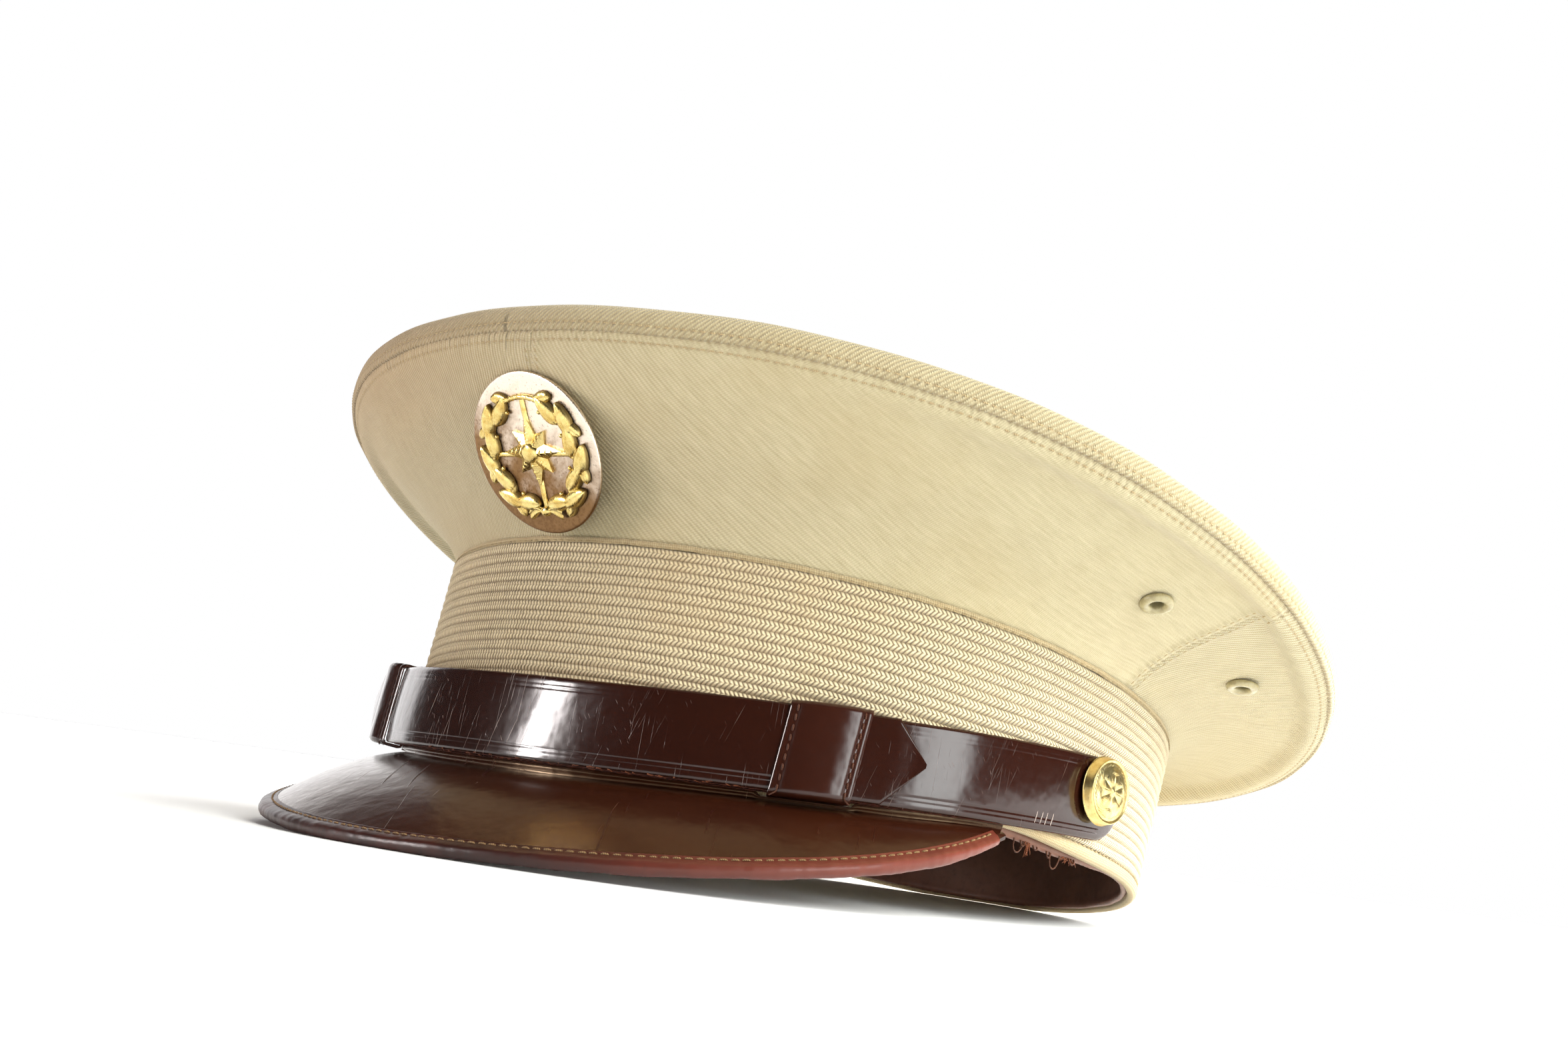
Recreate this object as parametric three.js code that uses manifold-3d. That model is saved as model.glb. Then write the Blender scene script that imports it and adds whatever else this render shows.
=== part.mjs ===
// Peaked service cap: oval crown, four side panels, ribbed braid band, leather
// peak with sewn binding, two-part chin strap with sliding keepers, side
// buttons, a round front badge and ventilation eyelets.
//
// Millimetres. The cap is drawn in its own frame: the head opening's plane is
// z = 0 at the sides and back, +Z is up through the crown, the front faces -Y
// and the wearer's left is +X. Angles run from the front (0) round the wearer's
// left side (90) to the back (180). The finished cap is then tipped back onto
// the peak's edge and the back of the band, the way it stands on a table.
import * as THREE from "three";
import { mergeVertices } from "three/addons/utils/BufferGeometryUtils.js";
import Module from "manifold-3d";

// ---- driving dimensions --------------------------------------------------
const GAP = 0.3; // clearance between touching pieces
// head oval, on the outside of the band
const HEAD_A = 102.0, // half length
  HEAD_B = 92.0, // half width at the opening
  EGG = 0.078, // wider in front than behind
  FLARE = 0.047; // half width gained per mm of height
// band
const BAND_T = 2.4;
// crown rim oval
const RIM_A = 131.5,
  RIM_B = 134.8,
  RIM_Y = -7.8;
const SEAM_IN = 1.4, // the rim seam lies this far inside the rim
  SEAM_DOWN = 4.2; // and this far below it
const CLOTH = 1.5; // wall of the crown's cloth with its backing
const WALL_SAG = [-1.0, -1.1]; // side wall's bow: first and second half wave
const DOME = 3.0; // rise of the top panel's middle
// leather
const STRAP_W = 19.0,
  STRAP_T = 1.6;
const PEAK_OUT = 35.3, // the peak's reach in front, level
  PEAK_Z = -39.6, // height of its edge in front
  PEAK_RISE = 38.0, // the edge's rise from the middle to the corner
  PEAK_POW = 1.85, // shape of the edge
  PEAK_TH = 70.8, // the corner's place round the band, degrees
  PEAK_T = 1.6,
  PEAK_BOW = 2.6;
const BIND_T = 0.7,
  BIND_W = 3.4;
const SWEAT_T = 1.2,
  SWEAT_H = 36;
// offsets of the strap stack from the band's outside
const OFF_REST = 0.5, // a single strap near its button
  OFF_INNER = 1.4, // the half beneath
  OFF_OUTER = 3.3, // the half on top
  KEEP_IN = 0.3, // back of a keeper
  KEEP_T = 0.7,
  KEEP_FRONT = 5.2;
// places round the band, degrees
const BUTTON_UP = 1.7, // the button sits above the middle of the strap
  BUTTON_TH = 83.5,
  STRAP_END_TH = 90.0;
const KEEP_L = [36.2, 46.0], // left keeper
  KEEP_R = [-46.0, -36.2]; // right keeper
const TIP_L = [49.5, 53.8]; // shoulders and point of the tongue beyond it
const SIDE_SEAM = 88.0,
  FRONT_SEAM = 3.4;
const BUTTON_R = 7.95,
  DISC_R = 19.05,
  DISC_T = 1.0,
  DISC_TILT = 41.0, // the plate's lean, downwards from upright
  DISC_Y = -119.4,
  DISC_Z = 52.9;
const EYE_R = 3.9,
  EYE_HOLE = 1.6;
const EYELETS = [
  // angle round the rim, share of the wall's height
  { name: "front", th: 77.5, t: 0.48 },
  { name: "back", th: 101.5, t: 0.52 },
];
// how it stands
const REST_TILT = 9.9987,
  REST_Y = 6.95,
  REST_Z = 17.0636;

// ---- curves ----------------------------------------------------------------
const rad = (d) => (d * Math.PI) / 180;
const V = (x, y, z) => new THREE.Vector3(x, y, z);
const { sin, cos, PI, abs, min, max, pow } = Math;
const lerp = (a, b, t) => a + (b - a) * t;
const smooth = (a, b, x) => {
  const t = min(1, max(0, (x - a) / (b - a)));
  return t * t * (3 - 2 * t);
};

// outward level normal of the head oval
function outward(th) {
  return V(HEAD_A * sin(th), -HEAD_B * cos(th), 0).normalize();
}
function head(th, z, off = 0) {
  const n = outward(th);
  const b = HEAD_B + FLARE * z;
  return V(
    b * sin(th) * (1 + EGG * cos(th)) + off * n.x,
    -HEAD_A * cos(th) + off * n.y,
    z,
  );
}
const bandBottom = (th) => {
  const a = abs(th > PI ? 2 * PI - th : th); // either side of the front
  const arch = 1.9 * Math.exp(-pow((a - rad(68)) / rad(12), 2)); // over the peak's corners
  return -14.8 * pow((1 + cos(th)) / 2, 3.5) + arch;
};
const bandTop = (th) =>
  38.7 + 2.43 * cos(th) - 1.57 * cos(2 * th) + 5.5 * pow((1 - cos(th)) / 2, 4);
const rimZ = (th, r = 1) =>
  62.0 +
  19.3 * r * cos(th) -
  1.4 * r * r * cos(2 * th) -
  1.3 * pow(r, 3) * cos(3 * th);
function rim(th, off = 0, dz = 0) {
  return V(
    (RIM_B + off) * sin(th),
    RIM_Y - (RIM_A + off) * cos(th),
    rimZ(th) + dz,
  );
}
// side wall: t = 0 at the band, 1 at the rim seam; off = 0 is its outside
function wallFrame(th) {
  const P = head(th, bandTop(th), -0.6);
  P.z += GAP;
  const Q = rim(th, -SEAM_IN, -SEAM_DOWN - 0.45);
  const d = Q.clone().sub(P);
  const n = outward(th);
  const dh = d.dot(n);
  const N = n.clone().multiplyScalar(d.z).sub(V(0, 0, dh)).normalize();
  return { P, d, N };
}
function wall(th, t, off = 0) {
  const { P, d, N } = wallFrame(th);
  const bow = WALL_SAG[0] * sin(PI * t) + WALL_SAG[1] * sin(2 * PI * t);
  return P.addScaledVector(d, t).addScaledVector(N, bow + off);
}
// its inside; the ends are cut level where they meet the band and the top
function wallInside(th, t) {
  const { N } = wallFrame(th);
  const level = max(0, 1 - t / 0.15, 1 - (1 - t) / 0.15);
  const dir = N.lerp(outward(th), level).normalize();
  return wall(th, t, 0).addScaledVector(dir, -CLOTH);
}
const strapTop = (th) => 21.85 - 15.26 * cos(th) - 1.57 * cos(2 * th);

// ---- solids from sections ----------------------------------------------------
function solidFrom(pos, tri) {
  // turned so that its faces point out
  let vol = 0;
  for (const [a, b, c] of tri)
    vol += pos[a].dot(new THREE.Vector3().crossVectors(pos[b], pos[c]));
  if (vol < 0) tri = tri.map(([a, b, c]) => [a, c, b]);
  const g = new THREE.BufferGeometry();
  g.setAttribute(
    "position",
    new THREE.Float32BufferAttribute(
      pos.flatMap((p) => [p.x, p.y, p.z]),
      3,
    ),
  );
  g.setIndex(tri.flat());
  return g;
}
// A closed section moved through a list of stations. Each section is a loop of
// 2n points, n out and n back, so an open end is closed like a ladder.
function sweep(sections, closed) {
  const m = sections[0].length;
  const pos = sections.flat();
  const tri = [];
  const last = closed ? sections.length : sections.length - 1;
  for (let i = 0; i < last; i++) {
    const a = i * m,
      b = ((i + 1) % sections.length) * m;
    for (let k = 0; k < m; k++) {
      const l = (k + 1) % m;
      tri.push([a + k, a + l, b + l], [a + k, b + l, b + k]);
    }
  }
  if (!closed) {
    const end = (sections.length - 1) * m;
    for (let k = 0; k < m / 2 - 1; k++) {
      const q = m - 1 - k,
        r = m - 2 - k,
        l = k + 1;
      tri.push([l, k, q], [l, q, r]);
      tri.push([end + k, end + l, end + q], [end + l, end + r, end + q]);
    }
  }
  return solidFrom(pos, tri);
}
// Closed loops stacked between two poles.
function stack(poleA, loops, poleB) {
  const m = loops[0].length;
  const pos = [...loops.flat(), poleA, poleB];
  const tri = [];
  const A = loops.length * m,
    B = A + 1;
  for (let k = 0; k < m; k++) {
    const l = (k + 1) % m;
    tri.push([A, l, k]);
    for (let i = 0; i < loops.length - 1; i++) {
      const a = i * m,
        b = a + m;
      tri.push([a + k, a + l, b + l], [a + k, b + l, b + k]);
    }
    const e = (loops.length - 1) * m;
    tri.push([e + k, e + l, B]);
  }
  return solidFrom(pos, tri);
}
const steps = (a, b, n) =>
  Array.from({ length: n + 1 }, (_, i) => lerp(a, b, i / n));

// ---- boolean cuts -------------------------------------------------------------
const wasm = await Module();
wasm.setup();
function toSolid(geometry, matrix) {
  let g = geometry.clone();
  g.deleteAttribute("normal");
  g.deleteAttribute("uv");
  if (matrix) g.applyMatrix4(matrix);
  g = mergeVertices(g, 1e-4);
  return new wasm.Manifold(
    new wasm.Mesh({
      numProp: 3,
      vertProperties: new Float32Array(g.attributes.position.array),
      triVerts: new Uint32Array(g.index.array),
    }),
  );
}
function fromSolid(s) {
  const m = s.getMesh();
  const g = new THREE.BufferGeometry();
  g.setAttribute(
    "position",
    new THREE.Float32BufferAttribute(m.vertProperties, 3),
  );
  g.setIndex(Array.from(m.triVerts));
  return g;
}
// a drill of the given radius along axis, centred on at
function drill(at, axis, r, length, sides = 12) {
  const m = new THREE.Matrix4().compose(
    at,
    new THREE.Quaternion().setFromUnitVectors(V(0, 1, 0), axis),
    V(1, 1, 1),
  );
  return toSolid(new THREE.CylinderGeometry(r, r, length, sides), m);
}
function cut(geometry, tools) {
  let s = toSolid(geometry);
  for (const t of tools) s = s.subtract(t);
  return fromSolid(s);
}

// ---- what touches the table is pressed flat -----------------------------------
const UP = V(0, -sin(rad(REST_TILT)), cos(rad(REST_TILT))); // the table's up
function pressed(p) {
  const h = p.dot(UP) + REST_Z;
  return h < 0 ? p.clone().addScaledVector(UP, -h) : p;
}

// ---- materials -------------------------------------------------------------------
const mat = (color, roughness, metalness = 0) =>
  new THREE.MeshStandardMaterial({ color, roughness, metalness });
const TWILL = mat(0xb9a77c, 0.85),
  BRAID = mat(0xc2ac80, 0.85),
  STRAP = mat(0x3a1c15, 0.25),
  PEAK = mat(0x3c2017, 0.28),
  BINDING = mat(0x57241a, 0.35),
  SWEAT = mat(0x4a2c20, 0.6),
  GILT = mat(0xd8a93c, 0.25, 1),
  PLATE = mat(0xa8825c, 0.4, 1),
  PAINT = mat(0xa9a077, 0.45, 0.2);

const cap = new THREE.Group();
function add(name, geometry, material, parent = cap) {
  const mesh = new THREE.Mesh(geometry, material);
  mesh.name = name;
  parent.add(mesh);
  return mesh;
}

// ---- crown top ---------------------------------------------------------------------
// rows from the seam round the rim's roll and in over the top
const ROLL = [
  { off: -SEAM_IN, dz: -SEAM_DOWN },
  { off: -0.3, dz: -2.4 },
  { off: 0, dz: -0.6 },
  { off: -1.2, dz: 1.2 },
  { off: -4.0, dz: 2.1 },
  { off: -10.0, dz: 1.7 },
];
const FLAT_ROWS = [0.72, 0.48, 0.24]; // shares of the way out to the last roll row
const RIM_N = 52;
function topRow(r, z) {
  const edge = ROLL[ROLL.length - 1];
  return steps(0, 2 * PI, RIM_N)
    .slice(0, -1)
    .map((th) =>
      V(
        r * (RIM_B + edge.off) * sin(th),
        RIM_Y - r * (RIM_A + edge.off) * cos(th),
        rimZ(th, r) + edge.dz + DOME * (1 - r * r) + z,
      ),
    );
}
function rollRow(row, inset) {
  return steps(0, 2 * PI, RIM_N)
    .slice(0, -1)
    .map((th) => rim(th, row.off + inset[0], row.dz + inset[1]));
}
{
  const inner = [
    [-CLOTH, 0],
    [-CLOTH, 0],
    [-CLOTH, 0],
    [-CLOTH, -0.6],
    [-0.6, -CLOTH],
    [0, -CLOTH],
  ];
  const outside = ROLL.map((r) => rollRow(r, [0, 0]));
  const inside = ROLL.map((r, i) => rollRow(r, inner[i]));
  const loops = [
    ...[...FLAT_ROWS].reverse().map((r) => topRow(r, 0)),
    ...[...outside].reverse(),
    ...inside,
    ...FLAT_ROWS.map((r) => topRow(r, -CLOTH)),
  ];
  const zc = 62.0 + ROLL[ROLL.length - 1].dz + DOME;
  add(
    "crown_top",
    stack(V(0, RIM_Y, zc), loops, V(0, RIM_Y, zc - CLOTH)),
    TWILL,
  );
}

// ---- side panels --------------------------------------------------------------------
const eyeAt = (e, side) => {
  const th = side * rad(e.th);
  const along = wall(th + 0.02, e.t).sub(wall(th - 0.02, e.t));
  const up = wall(th, e.t + 0.03).sub(wall(th, e.t - 0.03));
  return { at: wall(th, e.t), axis: along.cross(up).normalize() };
};
const discAxis = V(0, -cos(rad(DISC_TILT)), -sin(rad(DISC_TILT)));
const discAt = V(0, DISC_Y, DISC_Z);
function panel(name, a, b, tools) {
  const g = 0.16; // half the gap at a seam, degrees
  const n = max(6, Math.round(abs(b - a) / 7.2));
  const ts = [0, 0.15, 0.38, 0.62, 0.85, 1];
  const sections = steps(rad(a + g), rad(b - g), n).map((th) => [
    ...ts.map((t) => wall(th, t, 0)),
    ...[...ts].reverse().map((t) => wallInside(th, t)),
  ]);
  const body = sweep(sections, false);
  add(name, tools.length ? cut(body, tools) : body, TWILL);
}
const eyeDrill = (i, side) => {
  const { at, axis } = eyeAt(EYELETS[i], side);
  return drill(at, axis, 2.7, 12);
};
panel("quarter_front_left", FRONT_SEAM, SIDE_SEAM, [eyeDrill(0, 1)]);
panel("quarter_back_left", SIDE_SEAM, 180, [eyeDrill(1, 1)]);
panel("quarter_back_right", -180, -SIDE_SEAM, [eyeDrill(1, -1)]);
panel("quarter_front_right", -SIDE_SEAM, FRONT_SEAM, [
  eyeDrill(0, -1),
  drill(discAt, discAxis, 1.6, 24),
]);

// ---- band ------------------------------------------------------------------------------
const buttonAt = (side) => {
  const th = side * rad(BUTTON_TH);
  return {
    at: head(th, strapTop(th) - STRAP_W / 2 + BUTTON_UP, 0),
    axis: outward(th),
  };
};
{
  const N = 64;
  const sections = steps(0, 2 * PI, N)
    .slice(0, -1)
    .map((th) => {
      const b = bandBottom(th),
        t = bandTop(th);
      return [
        head(th, t - 0.5, 0),
        head(th, b + 1.0, 0),
        head(th, b, -0.4),
        head(th, b, -2.0),
        head(th, b + 0.8, -BAND_T),
        head(th, t - 0.5, -BAND_T),
        head(th, t, -1.9),
        head(th, t, -0.5),
      ].map(pressed);
    });
  const holes = [1, -1].map((s) => {
    const { at, axis } = buttonAt(s);
    return drill(at, axis, 1.6, 16);
  });
  add("band", cut(sweep(sections, true), holes), BRAID);
}

// ---- sweatband ------------------------------------------------------------------------------
{
  const N = 52;
  const o = -BAND_T - GAP;
  const sections = steps(0, 2 * PI, N)
    .slice(0, -1)
    .map((th) => {
      const a = min(th, 2 * PI - th); // either side of the front
      const dip = 2.4 * Math.exp(-pow((a - rad(76)) / rad(18), 2));
      const b = bandBottom(th) + 0.9 - dip;
      return [
        head(th, b + SWEAT_H, o),
        head(th, b + 0.4, o),
        head(th, b, o - 0.4),
        head(th, b + 0.4, o - SWEAT_T),
        head(th, b + SWEAT_H * 0.5, o - SWEAT_T),
        head(th, b + SWEAT_H, o - SWEAT_T),
      ];
    });
  add("sweatband", sweep(sections, true), SWEAT);
}

// ---- peak and its binding -------------------------------------------------------------------
function peakEdge(u) {
  const th = u * rad(PEAK_TH);
  const k = pow(abs(u), PEAK_POW);
  const p = head(th, 0, 0).addScaledVector(outward(th), PEAK_OUT * (1 - k));
  p.z = PEAK_Z + PEAK_RISE * k;
  return p;
}
function peakRoot(u) {
  const th = u * rad(PEAK_TH);
  return head(th, bandBottom(th) - 1.1, GAP + 0.1);
}
// local frame at the edge: out, along it, and up off the leather
function peakFrame(u) {
  const E = peakEdge(u),
    R = peakRoot(u);
  const o = E.clone().sub(R).normalize();
  const t = peakEdge(min(1, u + 0.01)).sub(peakEdge(max(-1, u - 0.01)));
  t.normalize();
  const m = new THREE.Vector3().crossVectors(t, o).normalize();
  if (m.z < 0) m.negate();
  return { E, R, o, m };
}
const PEAK_U = 0.965;
// leather and binding thin out towards the corners
const thin = (u) => smooth(0.75, PEAK_U, abs(u));
const peakThick = (u) => PEAK_T - 0.6 * thin(u);
const bindThick = (u) => BIND_T - 0.25 * thin(u);
const peakStations = steps(-1, 1, 28).map(
  (s) => PEAK_U * sin((s * PI) / 2) * 0.35 + PEAK_U * s * 0.65,
);
{
  const sections = peakStations.map((u) => {
    const { E, R, m } = peakFrame(u);
    const len = E.distanceTo(R);
    const bow = PEAK_BOW * min(1, len / 40);
    const at = (v, off) =>
      R.clone()
        .lerp(E, v)
        .addScaledVector(m, bow * 4 * v * (1 - v) * (1 - 0.4 * v) + off);
    const q = 1 - min(BIND_W, len * 0.8) / len; // where the binding begins
    const vs = [0, 0.35 * q, 0.7 * q, q, 1];
    return [
      ...vs.map((v) => at(v, 0)),
      ...[...vs].reverse().map((v) => at(v, -peakThick(u))),
    ];
  });
  add("visor", sweep(sections, false), PEAK);
}
{
  // The binding is a U round the edge; its legs follow the leather's bow.
  const g = GAP;
  const sections = peakStations.slice(1, -1).map((u) => {
    const b = bindThick(u),
      deep = peakThick(u);
    const { E, R, o, m } = peakFrame(u);
    const len = E.distanceTo(R);
    const bow = PEAK_BOW * min(1, len / 40);
    const leg = min(BIND_W, len * 0.8);
    const lift = (d) => {
      const v = 1 - d / len;
      return bow * 4 * v * (1 - v) * (1 - 0.4 * v);
    };
    const at = (x, y) =>
      pressed(
        E.clone()
          .addScaledVector(o, x)
          .addScaledVector(m, y + (x < 0 ? lift(-x) : 0)),
      );
    return [
      at(-leg, g + b),
      at(0.2, g + b),
      at(g + b, g - 0.2),
      at(g + b, -deep - g + 0.2),
      at(0.2, -deep - g - b),
      at(-leg, -deep - g - b),
      at(-leg, -deep - g),
      at(g, -deep - g),
      at(g, g),
      at(-leg, g),
    ];
  });
  // two legs and a back: the ends are closed leg by leg
  const m = 10;
  const pos = sections.flat();
  const tri = [];
  for (let i = 0; i < sections.length - 1; i++) {
    const a = i * m,
      c = a + m;
    for (let k = 0; k < m; k++) {
      const l = (k + 1) % m;
      tri.push([a + k, a + l, c + l], [a + k, c + l, c + k]);
    }
  }
  const capTri = [
    [0, 9, 1],
    [9, 8, 1],
    [1, 8, 2],
    [2, 8, 7],
    [2, 7, 3],
    [3, 7, 4],
    [4, 7, 6],
    [4, 6, 5],
  ];
  const e = (sections.length - 1) * m;
  for (const [p, q, r] of capTri) {
    tri.push([p, q, r]);
    tri.push([e + p, e + r, e + q]);
  }
  add("visor_binding", solidFrom(pos, tri), BINDING);
}

// ---- chin strap -------------------------------------------------------------------------------
// Each half lies flat near its own button and over or under the other between
// the keepers.
const outerOff = (d) => lerp(OFF_REST, OFF_OUTER, smooth(-76, -56, d));
const innerOff = (d) => lerp(OFF_INNER, OFF_REST, smooth(56, 76, d));
function strapSection(d, off, halfW) {
  const th = rad(d);
  const mid = strapTop(th) - STRAP_W / 2;
  const e = 0.35; // rounded edge
  const at = (z, o) => head(th, mid + z, o);
  return [
    at(halfW - e, off + STRAP_T),
    at(-halfW + e, off + STRAP_T),
    at(-halfW, off + STRAP_T - e),
    at(-halfW, off),
    at(halfW, off),
    at(halfW, off + STRAP_T - e),
  ];
}
// half width along a strap: a rounded end past the button, a point at the tongue
function roundEnd(d, end, len) {
  const x = abs(end - d) / len;
  return x >= 1 ? STRAP_W / 2 : (STRAP_W / 2) * (0.42 + 0.58 * Math.sqrt(1 - pow(1 - x, 2)));
}
function strapBody(name, stations, offFn, halfFn, side) {
  const sections = stations.map((d) => strapSection(d, offFn(d), halfFn(d)));
  const { at, axis } = buttonAt(side);
  add(name, cut(sweepRing(sections), [drill(at, axis, 1.6, 20)]), STRAP);
}
// the strap's section is a plain loop of six points, closed by a fan at its ends
function sweepRing(sections) {
  const m = sections[0].length;
  const pos = sections.flat();
  const tri = [];
  for (let i = 0; i < sections.length - 1; i++) {
    const a = i * m,
      b = a + m;
    for (let k = 0; k < m; k++) {
      const l = (k + 1) % m;
      tri.push([a + k, a + l, b + l], [a + k, b + l, b + k]);
    }
  }
  const e = (sections.length - 1) * m;
  for (let k = 1; k < m - 1; k++) {
    tri.push([0, k + 1, k]);
    tri.push([e, e + k, e + k + 1]);
  }
  return solidFrom(pos, tri);
}
{
  const st = [
    ...[-STRAP_END_TH, -89.2, -88, -86.4, -84.6],
    ...steps(-82, TIP_L[0] - 0.01, 28),
    TIP_L[1],
  ];
  strapBody(
    "strap_outer",
    st,
    (d) => outerOff(d) + 1.2 * pow(max(0, (d - KEEP_L[1]) / (TIP_L[1] - KEEP_L[1])), 2),
    (d) =>
      d > TIP_L[0]
        ? 0.7
        : roundEnd(d, -STRAP_END_TH, 4.2),
    -1,
  );
}
{
  const st = [
    ...steps(KEEP_R[0] + 0.6, 82, 26),
    ...[84.6, 86.4, 88, 89.2, STRAP_END_TH],
  ];
  strapBody(
    "strap_inner",
    st,
    innerOff,
    (d) => roundEnd(d, STRAP_END_TH, 4.2),
    1,
  );
}

// ---- keepers -------------------------------------------------------------------------------------
// A loop round both halves. The right one carries the pointed tongue that
// finishes the inner half, which is bent outwards; that loop is loose and full.
function keeper(name, from, to, tongue) {
  const full = (d) => (tongue ? 1.7 * (1 - pow((2 * (d - from)) / (to - from) - 1, 2)) : 0);
  const h = STRAP_W / 2 + GAP;
  const stations = steps(from, to, 5);
  const k = KEEP_T;
  const sections = stations.map((d) => {
    const th = rad(d);
    const mid = strapTop(th) - STRAP_W / 2;
    const at = (z, o) => head(th, mid + z, o);
    return [
      at(h + k, KEEP_IN),
      at(h + k, KEEP_FRONT + k + full(d)),
      at(-h - k, KEEP_FRONT + k + full(d)),
      at(-h - k, KEEP_IN),
      at(-h, KEEP_IN + k),
      at(-h, KEEP_FRONT + full(d)),
      at(h, KEEP_FRONT + full(d)),
      at(h, KEEP_IN + k),
    ];
  });
  // outer wall (points 0-3) and inner wall (4-7), joined at both ends
  const pos = sections.flat();
  const tri = [];
  const m = 8;
  const ring = [0, 1, 2, 3];
  const inner = [7, 6, 5, 4];
  for (let i = 0; i < stations.length - 1; i++) {
    const a = i * m,
      b = a + m;
    for (let q = 0; q < 4; q++) {
      const s = (q + 1) % 4;
      tri.push([a + ring[q], a + ring[s], b + ring[s]]);
      tri.push([a + ring[q], b + ring[s], b + ring[q]]);
      tri.push([a + inner[q], b + inner[s], a + inner[s]]);
      tri.push([a + inner[q], b + inner[q], b + inner[s]]);
    }
  }
  const e = (stations.length - 1) * m;
  for (let q = 0; q < 4; q++) {
    const s = (q + 1) % 4;
    tri.push([ring[q], inner[s], ring[s]], [ring[q], inner[q], inner[s]]);
    tri.push([e + ring[q], e + ring[s], e + inner[s]]);
    tri.push([e + ring[q], e + inner[s], e + inner[q]]);
  }
  let g = solidFrom(pos, tri);
  if (tongue) {
    const t = tongue.map(({ d, half, up }) => {
      const th = rad(d);
      const mid = strapTop(th) - STRAP_W / 2;
      return [
        head(th, mid + half, KEEP_FRONT + up),
        head(th, mid + half, KEEP_FRONT + k * 0.98 + up),
        head(th, mid - half, KEEP_FRONT + k * 0.98 + up),
        head(th, mid - half, KEEP_FRONT + up),
      ];
    });
    g = fromSolid(toSolid(g).add(toSolid(sweepRing(t))));
  }
  add(name, g, STRAP);
}
keeper("keeper_left", KEEP_L[0], KEEP_L[1]);
keeper("keeper_right", KEEP_R[0], KEEP_R[1], [
  { d: -45.6, half: STRAP_W / 2, up: 0.3 },
  { d: -47.5, half: STRAP_W / 2, up: 0.9 },
  { d: -49.5, half: STRAP_W / 2, up: 2.0 },
  { d: -53.8, half: 0.7, up: 5.2 },
]);

// ---- buttons --------------------------------------------------------------------------------------
// profile from the front's middle round the rim to the post
const BUTTON_PROFILE = [
  { r: 0, h: 4.6 },
  { r: 2.8, h: 4.4 },
  { r: 5.4, h: 3.8 },
  { r: 6.9, h: 3.0 },
  { r: 7.6, h: 2.4 },
  { r: BUTTON_R, h: 1.6 },
  { r: 7.6, h: 0.9 },
  { r: 6.4, h: 0.5 },
  { r: 1.3, h: 0.3 },
  { r: 1.3, h: -4.2 },
  { r: 0, h: -4.2 },
];
// a turned piece whose axis is +Y in its own frame, stood on the given axis
function turned(name, profile, sides, at, axis, material, tools) {
  let g = new THREE.LatheGeometry(
    profile.map((p) => new THREE.Vector2(p.r, p.h)),
    sides,
  );
  g.deleteAttribute("normal");
  g.deleteAttribute("uv");
  g = mergeVertices(g, 1e-4);
  const s = toSolid(g);
  if (s.volume() < 0) {
    const ix = g.index.array;
    for (let i = 0; i < ix.length; i += 3) {
      const t = ix[i + 1];
      ix[i + 1] = ix[i + 2];
      ix[i + 2] = t;
    }
  }
  const mesh = add(name, tools ? cut(g, tools) : g, material);
  mesh.position.copy(at);
  mesh.quaternion.setFromUnitVectors(V(0, 1, 0), axis);
  return mesh;
}
for (const [name, s] of [
  ["button_left", 1],
  ["button_right", -1],
]) {
  const { at, axis } = buttonAt(s);
  turned(
    name,
    BUTTON_PROFILE,
    20,
    at.clone().addScaledVector(axis, OFF_REST + STRAP_T + 0.2),
    axis,
    GILT,
  );
}

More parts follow.
